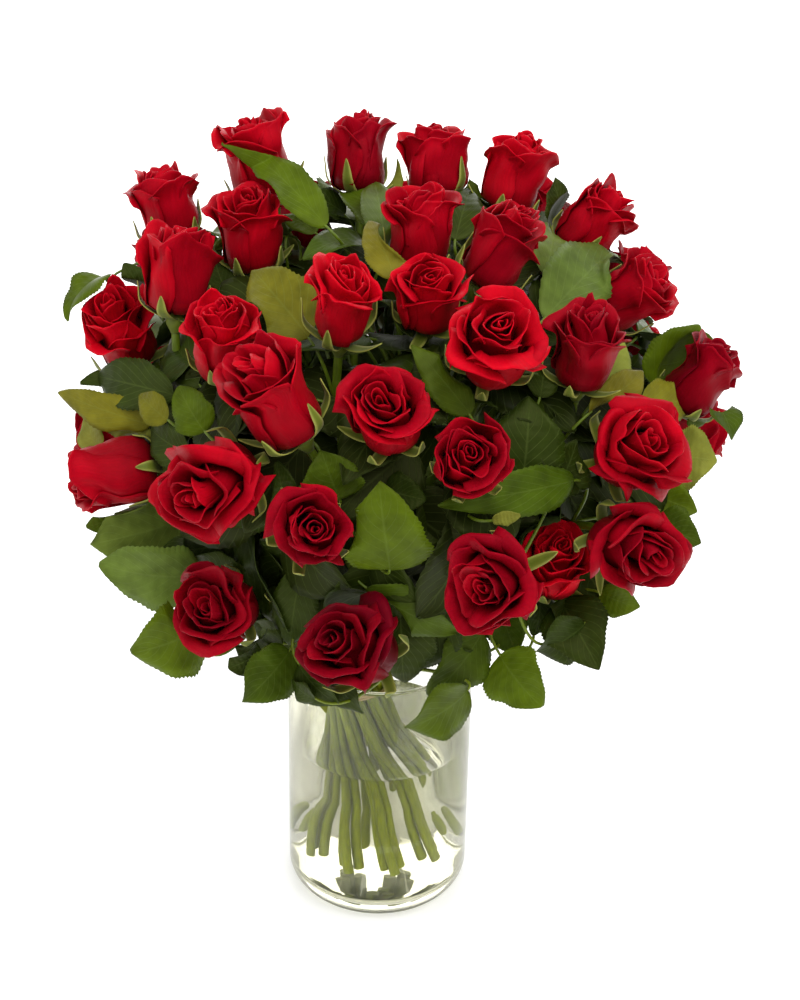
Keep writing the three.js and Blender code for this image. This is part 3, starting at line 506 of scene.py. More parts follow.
def rose_head(rose):
    """Points, faces, petal coordinates and brightness of one head's petals, as thin sheets."""
    draw = seeded_draws(1500 + 37 * rose["seed"])
    radius, tall, opened = rose["wide"] / 2, rose["tall"], rose["open"]
    places, faces, marks, tones_and_shades = [], [], [], []
    rows = len(ALONG)
    first = draw(0, 2 * math.pi)
    for number, layer in enumerate(LAYERS):
        inner = number / (len(LAYERS) - 1)
        outer = 1 - inner
        first += 0.9 + draw(-0.2, 0.2)
        for k in range(layer["count"]):
            middle = first + 2 * math.pi * k / layer["count"] + draw(-0.22, 0.22) * outer
            lean = layer["lean"] + (opened - 0.6) * 16 * outer + draw(-5, 5) * outer
            roll = layer["roll"] * (0.05 + 1.0 * opened) * draw(0.45, 1.25)
            reach = layer["reach"] * (0.90 + 0.12 * opened) * radius * draw(0.95, 1.05)
            level = layer["rise"] + (0.95 - layer["rise"]) * max(0, 0.9 - opened)
            rise = (level - 0.10 * (opened - 0.4) * outer) * tall * draw(1 - 0.05 - 0.05 * outer, 1.04)
            seat = SEAT * (1 - 0.75 * inner)
            foot = 0.10 * inner * tall
            half = math.radians(layer["half"]) * draw(0.92, 1.1)
            wave, crease = draw(0.015, 0.06) * (0.4 + outer), draw(-0.03, 0.08) * outer
            phase, uneven, point_at = draw(*PHASE), draw(*PHASE), draw(-0.4, 0.4)
            point = draw(0.0, 0.05) * (1 - 0.5 * inner)
            # On an open head one petal of the second layer stands up to a proud point.
            if number == 1 and k == 0 and opened > 0.45:
                roll, point = 0.15 * roll, PROUD
            tilt, twist = draw(-0.12, 0.12), draw(-0.2, 0.2) * outer
            tone_and_shade_here = min(max(rose["bright"] + draw(-0.14, 0.14), 0), 1)
            start = len(places)
            plain = petal_line(lean, 0)
            widest, top = max(out for out, _ in plain), plain[-3][1]
            for u in ACROSS:
                curled = petal_line(lean, roll * (0.85 + 0.1 * u * u + 0.3 * math.sin(2.6 * u + uneven)))
                short = 1 - (0.16 + 0.08 * inner) * abs(u) ** 3
                short += point * max(0, 1 - abs(u - point_at) / 0.35)
                waves = math.sin(5 * u + phase) + 0.3 * math.sin(11 * u + 2 * phase)
                for v, (out, up) in zip(ALONG, curled):
                    late = smooth_step(0.35, 1.0, v)
                    distance = seat + (reach - seat) * out / widest
                    distance *= 1 + 0.08 * u * (1 - 0.3 * inner)
                    distance += radius * late * wave * waves
                    distance += radius * late * (crease * (1 - abs(u)) + 0.05 * abs(u) ** 4 * outer)
                    height = (rise - foot) * up / top
                    height = foot + height * (1 + (short - 1 + tilt * u) * late)
                    spread = 0.45 + 0.55 * math.sin(math.pi / 2 * min(1, v / 0.55))
                    places.append((middle + twist * v + u * half * spread, distance, height, inner))
                    marks.append((u / 2 + 0.5 + k + 5 * number, v))
                    tones_and_shades.append(tone_and_shade_here)
            for i in range(len(ACROSS) - 1):
                for a in range(start + i * rows, start + i * rows + rows - 1):
                    faces.append((a, a + rows, a + rows + 1, a + 1))
    side, over = across_axis(rose["axis"])
    fit_out = 1.05 * radius / max(place[1] for place in places)
    fit_up = tall / max(place[2] for place in places)
    oval = draw(-0.06, 0.06)
    heart = [draw(-OFF_CENTRE, OFF_CENTRE) * radius for _ in range(2)]
    bends = [(2 * math.pi / (size * radius), share * radius, [draw(*PHASE) for _ in range(6)])
             for size, share in ((1.9, 0.11), (0.85, 0.05))]
    points = []
    for angle, distance, height, inner in places:
        x = distance * fit_out * math.cos(angle) * (1 + oval) + heart[0] * inner * height / tall
        y = distance * fit_out * math.sin(angle) * (1 - oval) + heart[1] * inner * height / tall
        z = height * fit_up
        loose = smooth_step(0, 0.5, z / tall)
        for pace, size, f in bends:
            x, y, z = (x + loose * size * math.sin(pace * y + f[0]) * math.cos(0.7 * pace * z + f[1]),
                       y + loose * size * math.sin(pace * z + f[2]) * math.cos(0.7 * pace * x + f[3]),
                       z + loose * size * math.sin(pace * x + f[4]) * math.cos(0.7 * pace * y + f[5]))
        points.append(rose["base"] + side * x + over * y + rose["axis"] * z)
    return points, faces, marks, tones_and_shades


def add_uv(piece, name, marks):
    """Gives a piece a UV map from the coordinates of its points."""
    layer = piece.data.uv_layers.new(name=name)
    layer.data.foreach_set("uv", [c for loop in piece.data.loops for c in marks[loop.vertex_index]])


def thicken(piece, thickness):
    """Gives the sheets of a piece a thickness in millimetres, half of it to each side."""
    wall = piece.modifiers.new("thickness", "SOLIDIFY")
    wall.thickness = thickness * MM
    wall.offset = 0


for number, rose in enumerate(roses):
    points, faces, marks, tones_and_shades = rose_head(rose)
    head = mesh_piece(f"rose_{number + 1:02d}", points, faces, [petal_skin])
    add_uv(head, "petal", marks)
    head.data.attributes.new("bright", "FLOAT", "POINT").data.foreach_set("value", tones_and_shades)
    thicken(head, PETAL_THICK)
    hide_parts(f"bloom_{number + 1:02d}")
    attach(head, "root")


# ---- The stems.
# Woody green canes that cross in a spiral at the tie. Below it they fan out straight into the
# water, and above it each bends out to its rose. Florists strip the leaves and prickles from
# the lower half, which leaves small scars.
WAIST = Vector((-14.0, -4.0, 131.0))
WAIST_INNER = 5.7
WAIST_OUTER = 13.7
WAIST_PRESSED = 1.7
INNER_BUNDLES = 4
SPREAD_SCALE = 2.75
SPREAD_TURN = math.radians(61)
SPREAD_DEPTH = 116.0
STEM_RADIUS = 2.1
FOOT_RADIUS = 2.7
FOOT_LOW = 20.0
FOOT_HIGH = 42.0
NECK = 10.0
LOWER_STEPS = 16
UPPER_STEPS = 20
SCAR_PROUD = 0.16
SCAR_SHARE = 0.012
CANE_SIDES = 12
CANE_PALE = 20
CANE_GREEN = 260
leafy_nodes = [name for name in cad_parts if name.startswith("leafy_stems_")]


def round_of(point):
    """The angle of a point round the dome, from the front."""
    return math.atan2(point.x - DOME_CENTRE.x, DOME_CENTRE.y - point.y)


def polar_of(rose):
    """The angle of a rose from the top of the dome."""
    offset = rose["middle"] - DOME_CENTRE
    return math.atan2(math.hypot(offset.x, offset.y), offset.z)


def ring_of_bundles(members, ring_radius):
    """Stems in bundles of three, each bundle for three roses next to each other."""
    in_turn = sorted(members, key=lambda rose: round_of(rose["middle"]))
    count = len(in_turn) // 3
    lead = round_of(in_turn[1]["middle"])
    made = []
    for k in range(count):
        trio = in_turn[3 * k:3 * k + 3]
        angle = lead + 2 * math.pi * k / count + SPREAD_TURN
        middle = Vector((math.sin(angle), -math.cos(angle), 0)) * ring_radius
        lowest = max(trio, key=polar_of)
        others = [rose for rose in trio if rose is not lowest]
        for rose, degrees in ((lowest, 0), (others[0], -120), (others[1], 120)):
            a = angle + math.radians(degrees)
            waist = WAIST + middle + Vector((math.sin(a), -math.cos(a), 0)) * WAIST_PRESSED
            foot = seeded_draws(200 + rose["seed"])(FOOT_LOW, FOOT_HIGH)
            made.append({"rose": rose, "waist": waist, "foot": foot})
    return made


def straight_stem(waist, z):
    """Where the straight stretch of a stem is at a height near or below the waist: it leans
    from the waist, which lies to one side, to a foot in a ring round the vase's middle."""
    t = (waist.z - z) / SPREAD_DEPTH
    c = 1 - t + t * SPREAD_SCALE * math.cos(SPREAD_TURN)
    s = t * SPREAD_SCALE * math.sin(SPREAD_TURN)
    x, y = waist.x - WAIST.x, waist.y - WAIST.y
    return Vector(((1 - t) * WAIST.x + c * x - s * y, (1 - t) * WAIST.y + s * x + c * y, z))


def stem_point(stem, t):
    """A point of the curve from the waist to the underside of the rose."""
    waist, rose = stem["waist"], stem["rose"]
    end = rose["base"] - rose["axis"] * NECK
    reach = (waist - end).length
    rise = straight_stem(waist, waist.z + 0.30 * reach)
    bend = end - rose["axis"] * (0.28 * reach)
    s = 1 - t
    return waist * s ** 3 + rise * (3 * s * s * t) + bend * (3 * s * t * t) + end * t ** 3


by_height = sorted(roses, key=polar_of)
stems = ring_of_bundles(by_height[:3 * INNER_BUNDLES], WAIST_INNER)
stems += ring_of_bundles(by_height[3 * INNER_BUNDLES:], WAIST_OUTER)


def fibres(tree, wide, tall):
    """Streaks of a width and a height in millimetres, all through a piece."""
    place = add_node(tree, "ShaderNodeTexCoord")
    drawn = add_node(tree, "ShaderNodeMapping",
                     {"Scale": (1 / (wide * MM), 1 / (wide * MM), 1 / (tall * MM))},
                     {"Vector": (place, "Object")})
    return add_node(tree, "ShaderNodeTexNoise", {"Scale": 1.0, "Detail": 3.0}, {"Vector": drawn})


# Rose cane: satin green bark, paler and yellower towards the cut foot, with fine lengthwise
# streaks.
cane, tree = new_material("rose cane, green bark")
place = add_node(tree, "ShaderNodeTexCoord")
level = add_node(tree, "ShaderNodeSeparateXYZ", {}, {0: (place, "Object")})
height = add_node(tree, "ShaderNodeMapRange",
                  {"From Min": CANE_PALE * MM, "From Max": CANE_GREEN * MM}, {"Value": (level, "Z")})
green = add_node(tree, "ShaderNodeMix",
                 {"data_type": "RGBA", 6: linear("#929c08"), 7: linear("#52640f")}, {0: height})
streaks = fibres(tree, 1.2, 18)
coat(tree, {"Roughness": 0.42, "Specular IOR Level": 0.3, "Subsurface Weight": 0.05,
            "Subsurface Scale": 1.0 * MM},
     varied(tree, (green, 2), streaks, (0.3, 0.7), (0.75, 1.2)), streaks)

# The tree draws a round rod along each line, as thick as the line's radius at each point.
rod_tree = bpy.data.node_groups.new("rod along a line", "GeometryNodeTree")
rod_sockets = [rod_tree.interface.new_socket(name, in_out=way, socket_type="NodeSocket" + kind)
               for name, way, kind in (("Geometry", "INPUT", "Geometry"), ("Radius", "INPUT", "Float"),
                                       ("Sides", "INPUT", "Int"), ("Geometry", "OUTPUT", "Geometry"))]
enter = add_node(rod_tree, "NodeGroupInput")
ring = add_node(rod_tree, "GeometryNodeCurvePrimitiveCircle", {},
                {"Resolution": (enter, "Sides"), "Radius": (enter, "Radius")})
thickness = add_node(rod_tree, "GeometryNodeInputRadius")
rod = add_node(rod_tree, "GeometryNodeCurveToMesh", {"Fill Caps": True},
               {"Curve": (enter, "Geometry"), "Profile Curve": ring, "Scale": thickness})
real = add_node(rod_tree, "GeometryNodeRealizeInstances", {}, {"Geometry": rod})
shaded = add_node(rod_tree, "GeometryNodeSetShadeSmooth", {}, {"Geometry": real})
coated = add_node(rod_tree, "GeometryNodeSetMaterial", {"Material": cane}, {"Geometry": shaded})
add_node(rod_tree, "NodeGroupOutput", {}, {"Geometry": coated})


def rods(name, paths, radius, sides):
    """A plain mesh of rods along open lines, each a list of points in millimetres with a share
    of the radius."""
    curve = bpy.data.curves.new(name, "CURVE")
    curve.dimensions = "3D"
    for path in paths:
        spline = curve.splines.new("POLY")
        spline.points.add(len(path) - 1)
        for point, (p, share) in zip(spline.points, path):
            point.co = (*(p * MM), 1)
            point.radius = share
    lines = put(name + "_lines", curve)
    modifier = lines.modifiers.new("growth", "NODES")
    modifier.node_group = rod_tree
    modifier[rod_sockets[1].identifier] = radius * MM
    modifier[rod_sockets[2].identifier] = sides
    depsgraph = bpy.context.evaluated_depsgraph_get()
    mesh = bpy.data.meshes.new_from_object(lines.evaluated_get(depsgraph), depsgraph=depsgraph)
    mesh.name = name
    bpy.data.objects.remove(lines)
    return put(name, mesh)


stem_paths = []
for stem in stems:
    draw = seeded_draws(700 + stem["rose"]["seed"])
    foot = straight_stem(stem["waist"], stem["foot"])
    thicker = FOOT_RADIUS / STEM_RADIUS
    path = [(foot.lerp(stem["waist"], i / LOWER_STEPS), thicker + (1 - thicker) * i / LOWER_STEPS)
            for i in range(LOWER_STEPS)]
    path += [(stem_point(stem, i / UPPER_STEPS), 1.0) for i in range(UPPER_STEPS + 1)]
    scars = [draw(0, 1) for _ in range(4)]
    for i, (p, share) in enumerate(path):
        off = min(abs(i / len(path) - scar) for scar in scars)
        path[i] = (p, share * (1 + SCAR_PROUD * math.exp(-(off / SCAR_SHARE) ** 2)))
    stem_paths.append(path)
canes = rods("stems", stem_paths, STEM_RADIUS, CANE_SIDES)
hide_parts(*leafy_nodes)
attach(canes, "root")


# ---- The calyx under each rose.
# A small green urn with five narrow sepals, which stand out under the petals or lie against
# the belly.
CALYX_OUTLINE = [(2.2, -10.5), (2.5, -9.5), (3.3, -8.0), (4.3, -6.2),
                 (4.7, -4.4), (4.2, -2.4), (3.9, -1.2), (2.0, -0.6)]
CALYX_SIDES = 15
SEPALS = 5
SEPAL_FOOT = 4.2
SEPAL_WIDE = 7.5
SEPAL_TIP = 0.25
SEPAL_ROWS = 12
SEPAL_ACROSS = (-1, -0.5, 0, 0.5, 1)
SEPAL_CUP = 0.12
SEPAL_THICK = 0.5

# Rose sepal: downy and matt, a green that wanders from leaf to yellow, with a pale dry edge.
sepal_skin, tree = new_material("rose calyx and sepals, downy green")
fleck = clouds(tree, 3, 3)
green = add_node(tree, "ShaderNodeMix",
                 {"data_type": "RGBA", 6: linear("#48550e"), 7: linear("#5e6818")}, {0: fleck})
rim = add_node(tree, "ShaderNodeAttribute", {"attribute_name": "rim"})
edged = add_node(tree, "ShaderNodeMix", {"data_type": "RGBA", 7: linear("#8e8f40")},
                 {0: (rim, "Fac"), 6: (green, 2)})
coat(tree, {"Roughness": 0.55, "Specular IOR Level": 0.2, "Sheen Weight": 0.05}, (edged, 2), fleck)

points, faces, rims = [], [], []
for rose in roses:
    draw = seeded_draws(900 + rose["seed"])
    side, over = across_axis(rose["axis"])
    base, axis, radius, tall = rose["base"], rose["axis"], rose["wide"] / 2, rose["tall"]
    start = len(points)
    for r, h in CALYX_OUTLINE:
        for j in range(CALYX_SIDES):
            a = 2 * math.pi * j / CALYX_SIDES
            points.append(base + axis * h + side * (r * math.cos(a)) + over * (r * math.sin(a)))
            rims.append(0)
    for i in range(len(CALYX_OUTLINE) - 1):
        for j in range(CALYX_SIDES):
            a, b = start + i * CALYX_SIDES + j, start + i * CALYX_SIDES + (j + 1) % CALYX_SIDES
            faces.append((a, b, b + CALYX_SIDES, a + CALYX_SIDES))
    faces.append(tuple(range(start + CALYX_SIDES - 1, start - 1, -1)))
    faces.append(tuple(range(len(points) - CALYX_SIDES, len(points))))
    for k in range(SEPALS):
        angle = 2 * math.pi * (k + 0.5) / SEPALS
        reach = 1.06 * radius + draw(0, 3)
        rise = tall * (0.20 + draw(-0.2, 0))
        spread = (k + rose["seed"]) % SEPALS == 0
        lift = draw(0.22, 0.50) * tall
        arm = side * math.cos(angle) + over * math.sin(angle)
        cross = over * math.cos(angle) - side * math.sin(angle)
        start = len(points)
        for i in range(SEPAL_ROWS + 1):
            t = i / SEPAL_ROWS
            if spread:
                out = SEPAL_FOOT + (reach - SEPAL_FOOT) * t ** 0.85
                up = -3.0 + (rise + 3.0) * t ** 1.3 - 1.2 * math.sin(math.pi * t)
            else:
                close = 0.86 * radius - SEPAL_FOOT
                out = SEPAL_FOOT + close * math.sin(math.pi / 2 * min(1, t * 1.5)) + 1.2 * t ** 4
                up = -2.5 + (lift + 2.5) * t ** 1.3
            half = SEPAL_WIDE / 2 * (0.6 + 0.8 * t) * (1 - t) ** 0.75 / 0.8
            if i == SEPAL_ROWS:
                half = SEPAL_TIP
            for s in SEPAL_ACROSS:
                cup = SEPAL_CUP * half * (1 - s * s)
                inward = (0, -cup) if spread else (cup, 0)
                spine = base + arm * (out + inward[0]) + axis * (up + inward[1])
                points.append(spine + cross * (s * half))
                rims.append(abs(s) ** 3 * min(1, 3 * t))
        across = len(SEPAL_ACROSS)
        for i in range(SEPAL_ROWS):
            for a in range(start + i * across, start + (i + 1) * across - 1):
                faces.append((a, a + across, a + across + 1, a + 1))
calyxes = mesh_piece("calyxes_and_sepals", points, faces, [sepal_skin])
calyxes.data.attributes.new("rim", "FLOAT", "POINT").data.foreach_set("value", rims)
thicken(calyxes, SEPAL_THICK)
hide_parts(*leafy_nodes)
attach(calyxes, "root")


# ---- The leaves.
# Rose leaflets: leathery, sawtoothed ovals, folded a little along the rib and quilted between
# their side veins, glossy above and paler and matt below. Each sits on a thin stalk.

# A row has the pixels of the base and the tip, the width, how far the base and the tip lie
# under the dome, and the green. The darker greens are partly painted shade: they go mostly to
# leaflets that lie deep under the dome.
DEEP_SHADE, DARK, MID, FRESH = "#1b2306", "#232f07", "#374708", "#445607"
OLIVE, PALE, GREY = "#605d14", "#6e722a", "#506124"
SEEN_LEAFLETS = [
    (326, 226, 246, 152, 19, 8, -20, FRESH), (362, 226, 299, 244, 18, 16, 4, MID),
    (387, 255, 374, 183, 17, 14, 0, MID), (395, 279, 370, 221, 19, 14, 2, OLIVE),
    (309, 338, 252, 270, 32, 20, 5, OLIVE), (110, 280, 66, 320, 26, 16, 8, FRESH),
    (160, 310, 124, 263, 18, 22, 16, DARK), (150, 425, 58, 392, 17, 20, 0, OLIVE),
    (160, 375, 80, 383, 14, 26, 10, DARK), (205, 432, 179, 386, 20, 22, 12, FRESH),
    (200, 385, 176, 329, 21, 30, 22, DARK), (385, 200, 395, 155, 16, 12, 4, PALE),
    (545, 275, 553, 226, 20, 22, 12, GREY), (545, 318, 615, 249, 33, 20, 8, GREY),
    (650, 385, 700, 325, 34, 30, 20, FRESH), (598, 392, 622, 340, 18, 20, 10, PALE),
    (540, 398, 545, 350, 15, 26, 18, DARK), (590, 415, 643, 371, 16, 18, 8, OLIVE),
    (640, 402, 691, 403, 21, 26, 12, OLIVE), (470, 415, 411, 345, 17, 24, 10, MID),
    (520, 490, 529, 396, 35, 34, 24, DARK), (555, 492, 577, 440, 24, 34, 26, DARK),
    (575, 480, 438, 506, 20, 26, 16, MID), (670, 455, 717, 461, 30, 24, 14, PALE),
    (645, 492, 697, 512, 22, 26, 12, FRESH), (655, 522, 701, 543, 22, 28, 14, MID),
    (600, 592, 640, 607, 16, 28, 16, FRESH), (583, 565, 624, 628, 30, 30, 12, DARK),
    (560, 600, 599, 670, 30, 30, 10, DARK), (545, 600, 540, 647, 22, 30, 18, DARK),
    (500, 655, 542, 707, 31, 24, 4, FRESH), (500, 612, 520, 664, 23, 22, 10, MID),
    (482, 632, 428, 696, 28, 14, 0, MID), (468, 690, 405, 728, 32, 12, 4, MID),
    (366, 588, 457, 631, 25, 26, 12, MID), (390, 570, 379, 482, 40, 24, 10, FRESH),
    (385, 490, 426, 500, 19, 32, 24, DARK), (340, 500, 321, 450, 28, 26, 16, MID),
    (287, 504, 277, 461, 15, 26, 18, DARK), (190, 455, 151, 428, 20, 28, 20, DARK),
    (180, 520, 90, 544, 38, 28, 14, GREY), (200, 575, 99, 563, 38, 32, 20, GREY),
    (205, 625, 131, 653, 40, 30, 14, FRESH), (290, 650, 242, 702, 27, 24, 6, MID),
    (328, 665, 364, 713, 17, 14, 2, DARK), (318, 658, 326, 713, 9, 10, -2, PALE),
    (302, 568, 290, 645, 21, 32, 22, DARK),
]
SMALL_LEAFLETS = [
    (316, 233, 285, 217, 12, 20, 12, MID), (168, 420, 140, 394, 14, 20, 10, OLIVE),
    (175, 318, 210, 306, 11, 20, 14, OLIVE), (495, 285, 462, 262, 12, 16, 10, OLIVE),
    (690, 428, 706, 397, 10, 20, 12, MID), (527, 652, 504, 682, 12, 12, 2, PALE),
    (150, 440, 93, 410, 13, 20, 8, PALE), (125, 515, 86, 527, 13, 20, 10, MID),
    (318, 690, 294, 671, 11, 16, 10, DARK), (491, 520, 519, 514, 6, 16, 12, PALE),
    (446, 612, 408, 668, 26, 24, 10, DARK), (430, 640, 400, 694, 22, 20, 12, DARK),
    (325, 590, 285, 645, 30, 30, 18, DARK), (300, 615, 312, 682, 26, 30, 18, MID),
    (262, 560, 245, 620, 28, 34, 26, DARK), (250, 590, 196, 556, 30, 40, 28, DARK),
    (262, 650, 228, 668, 20, 34, 24, DARK), (452, 640, 470, 690, 24, 22, 12, DARK),
    (318, 650, 250, 625, 30, 26, 14, MID), (290, 590, 262, 655, 32, 34, 22, DARK),
    (225, 545, 160, 552, 26, 34, 24, DARK), (210, 640, 196, 590, 22, 34, 24, DARK),
    (300, 660, 340, 700, 22, 26, 12, DARK),
    (100, 450, 88, 412, 16, 16, 8, PALE), (712, 400, 732, 440, 20, 16, 8, MID),
    (285, 640, 236, 640, 34, 22, 20, DARK), (282, 600, 250, 652, 26, 20, 12, DARK),
    (175, 395, 96, 376, 24, 24, 12, DARK), (180, 425, 104, 430, 28, 26, 12, DARK),
    (160, 360, 112, 384, 18, 24, 14, MID), (575, 600, 560, 650, 24, 28, 18, DARK),
    (480, 660, 452, 668, 20, 24, 16, DARK), (400, 612, 404, 682, 30, 24, 12, DARK),
    (345, 215, 305, 195, 18, 22, 10, DARK), (400, 240, 340, 190, 20, 22, 10, MID),
    (455, 240, 470, 190, 20, 24, 12, DARK), (480, 215, 470, 165, 16, 20, 6, MID),
    (560, 230, 548, 180, 18, 24, 10, DARK), (225, 290, 210, 235, 18, 24, 12, DARK),
    (545, 640, 575, 620, 22, 30, 20, DARK), (578, 612, 530, 640, 30, 28, 18, DARK),
    (160, 500, 110, 516, 18, 24, 12, GREY),
    (516, 606, 546, 648, 22, 30, 20, DARK),
]
BACK_LEAVES = [
    {"count": 4, "polar": 46, "from": 132, "to": 228, "length": 74, "wide": 84},
    {"count": 6, "polar": 80, "from": 112, "to": 248, "length": 80, "wide": 90},
    {"count": 6, "polar": 114, "from": 104, "to": 256, "length": 84, "wide": 92},
]
# Deeper leaflets fill the dome between the stems, laid like shingles in two shells: each has
# its base well under the dome and its tip nearer to it. They take the darkest greens, as
# painted shade of the bunch's inside.
FILLER_SHELLS = [
    {"polar": (8, 128), "count": 120, "base_under": 42, "tip_under": 20,
     "length": 54, "wide": 38, "seed": 31},
    {"polar": (4, 134), "count": 94, "base_under": 62, "tip_under": 38,
     "length": 56, "wide": 40, "seed": 32},
]
GOLDEN_ANGLE = 137.508
FILLER_PUSHES = (0, 12, 24, 36)
ARCH = 0.10
FOLD = 0.16
APART = 1.2
SHIFTS = (0, -3, 3, -6, 6, -9, -12, 9, -15, -18)
BLOOM_MARGIN = 1.0
TEETH = 20
DEEP_TEETH = 10
TOOTH = ((0.0, -0.012), (0.62, 0.016), (0.78, 0.0))
OUTWARD = (-1, -0.72, -0.36, 0, 0.36, 0.72, 1)
LEAF_THICK = 0.45
LEAF_EDGE = 0.4
SIDE_VEINS = 8
VEIN_SWEEP = 0.45
QUILT = 0.14


def leaf_surface(leaf):
    """The middle surface of a leaflet, arched along its rib and folded along it."""
    draw = seeded_draws(leaf["seed"])
    length = (leaf["tip"] - leaf["base"]).length
    along = (leaf["tip"] - leaf["base"]) / length
    side = leaf["normal"].cross(along).normalized()
    arch = length * (ARCH + draw(-0.05, 0.05))
    fold = FOLD + draw(-0.1, 0.1)
    return {"length": length, "along": along, "side": side, "up": along.cross(side),
            "height": lambda u, v: 4 * arch * u * (1 - u) + fold * abs(v)}


def leaf_at(leaf, surface, u, v):
    """The point of a leaflet at a share of its length and a distance out from its rib."""
    flat = leaf["base"] + surface["along"] * (u * surface["length"]) + surface["side"] * v
    return flat + surface["up"] * surface["height"](u, v)


def leaf_crosses(leaf, other):
    """Whether a leaflet's points over the other's blade lie some above and some below it."""
    own, surface = leaf_surface(leaf), leaf_surface(other)
    above = below = False
    for u in (0.05, 0.25, 0.5, 0.75, 1):
        for v in (-0.7, 0, 0.7):
            offset = leaf_at(leaf, own, u, v * 4 * u * (1 - u) * leaf["wide"] / 2) - other["base"]
            there, out = offset.dot(surface["along"]) / surface["length"], offset.dot(surface["side"])
            if -0.05 <= there <= 1.05 and abs(out) <= other["wide"] * 0.55:
                gap = offset.dot(surface["up"]) - surface["height"](there, out)
                above = above or gap > -APART
                below = below or gap < APART
    return above and below


def clear_of_roses(point):
    """A point is moved out of every rose that it would lie in, or near."""
    for _ in range(2):
        for rose in roses:
            offset = point - rose["middle"]
            if offset.length > rose["wide"]:
                continue
            along = offset.dot(rose["axis"])
            radial = offset - rose["axis"] * along
            within = (radial.length / (rose["wide"] / 2 + BLOOM_MARGIN)) ** 3
            within += (abs(along) / (rose["tall"] / 2 + BLOOM_MARGIN)) ** 3
            if within < 1:
                point = rose["middle"] + offset * (1 / max(within, 0.02) ** (1 / 3))
    return point


leaves = []


def settle(leaf):
    """A leaflet is shifted out or in until it passes through none of those before it."""
    tries = [{**leaf, **{end: leaf[end] + leaf["normal"] * shift for end in ("base", "tip")}}
             for shift in SHIFTS]
    leaves.append(min(tries, key=lambda moved: sum(leaf_crosses(moved, other) for other in leaves)))


for number, row in enumerate(SEEN_LEAFLETS + SMALL_LEAFLETS):
    base_x, base_y, tip_x, tip_y, wide, base_under, tip_under, green = row
    base, tip = on_dome(base_x, base_y, -base_under), on_dome(tip_x, tip_y, -tip_under)
    normal = (dome_normal(base.lerp(tip, 0.5)) - forward).normalized()
    settle({"base": base, "tip": tip, "normal": normal, "wide": wide,
            "seed": 3000 + number, "green": green})

# A leaf of the back has a leaflet at its end and two at its sides, on one rib.
for number, ring in enumerate(BACK_LEAVES):
    draw = seeded_draws(70 + number)
    for i in range(ring["count"]):
        evenly = ring["from"] + (ring["to"] - ring["from"]) * i / (ring["count"] - 1)
        round_angle = evenly + draw(-5, 5)
        base = dome_point(ring["polar"] - 14, round_angle, -22)
        heading = dome_point(ring["polar"] + 12, round_angle + draw(-9, 9), -2)
        rib = (heading - base).normalized()
        normal = dome_normal(base)
        across = normal.cross(rib).normalized()
        seed = 4000 + 100 * number + i
        green = (DARK, MID, MID, FRESH)[(i + number) % 4]
        settle({"base": base + rib * (0.30 * ring["length"]), "tip": base + rib * ring["length"],
                "normal": normal, "wide": 0.5 * ring["wide"], "seed": seed, "green": green})
        for hand in (-1, 1):
            start = base + rib * (0.16 * ring["length"])
            reach = rib * (0.26 * ring["length"]) + across * (hand * 0.5 * ring["wide"])
            settle({"base": start, "tip": start + reach, "normal": normal,
                    "wide": 0.34 * ring["wide"], "seed": seed + 20 + 20 * hand, "green": green})


def hides(point, rose):
    """Whether a point stands before the middle of a rose as the viewer sees it."""
    to_rose = rose["middle"] - eye
    ahead = (point - eye).dot(to_rose) / to_rose.length
    beside = (point - eye - to_rose * (ahead / to_rose.length)).length
    return ahead < to_rose.length and beside < 0.6 * rose["wide"]


fillers = []
for shell in FILLER_SHELLS:
    draw = seeded_draws(shell["seed"])
    low, high = (math.cos(math.radians(p)) for p in shell["polar"])
    for i in range(shell["count"]):
        polar = math.degrees(math.acos(low + (high - low) * (i + 0.5) / shell["count"])) + draw(-3, 3)
        round_angle = GOLDEN_ANGLE * i + draw(-12, 12)
        base = dome_point(polar, round_angle, -shell["base_under"])
        ahead = dome_point(polar + draw(14, 30), round_angle + draw(-26, 26), -shell["tip_under"])
        rib = (ahead - base).normalized()
        normal = dome_normal(base.lerp(ahead, 0.5))
        normal = (normal - rib * normal.dot(rib)).normalized()
        length, wide = shell["length"] * draw(0.85, 1.15), shell["wide"] * draw(0.8, 1.1)
        for push in FILLER_PUSHES:
            start = base - normal * push
            tip = start + rib * length
            if not any(hides(start.lerp(tip, t), rose)
                       for t in (0.2, 0.5, 0.8, 1) for rose in roses[:len(SEEN_ROSES)]):
                # Painted shade: these deep leaflets take the darkest greens.
                fillers.append({"base": start, "tip": tip, "normal": normal, "wide": wide,
                                "seed": 5200 + shell["seed"] * 100 + i,
                                "green": (DEEP_SHADE, DEEP_SHADE, DARK)[i % 3]})
                break

# Upper face of a rose leaf: waxy and softly glossy, with a pale rib and fine side veins sunk
# between quilted fields of a green that is never quite even.
leaf_top, tree = new_material("rose leaf, glossy upper face")
leaf_map = add_node(tree, "ShaderNodeUVMap", {"uv_map": "leaf"})
split = add_node(tree, "ShaderNodeSeparateXYZ", {}, {0: leaf_map})
out = add_node(tree, "ShaderNodeMath", {"operation": "ABSOLUTE"}, {0: (split, "X")})
swept = add_node(tree, "ShaderNodeMath", {"operation": "MULTIPLY_ADD", 1: -VEIN_SWEEP},
                 {0: out, 2: (split, "Y")})
wave = add_node(tree, "ShaderNodeMath", {"operation": "MULTIPLY", 1: 2 * math.pi * SIDE_VEINS}, {0: swept})
crest = add_node(tree, "ShaderNodeMath", {"operation": "COSINE"}, {0: wave})
side_veins = add_node(tree, "ShaderNodeMapRange", {"From Min": 0.94, "From Max": 1.0}, {"Value": crest})
rib_line = add_node(tree, "ShaderNodeMapRange", {"From Min": 0.05, "From Max": 0.0}, {"Value": out})
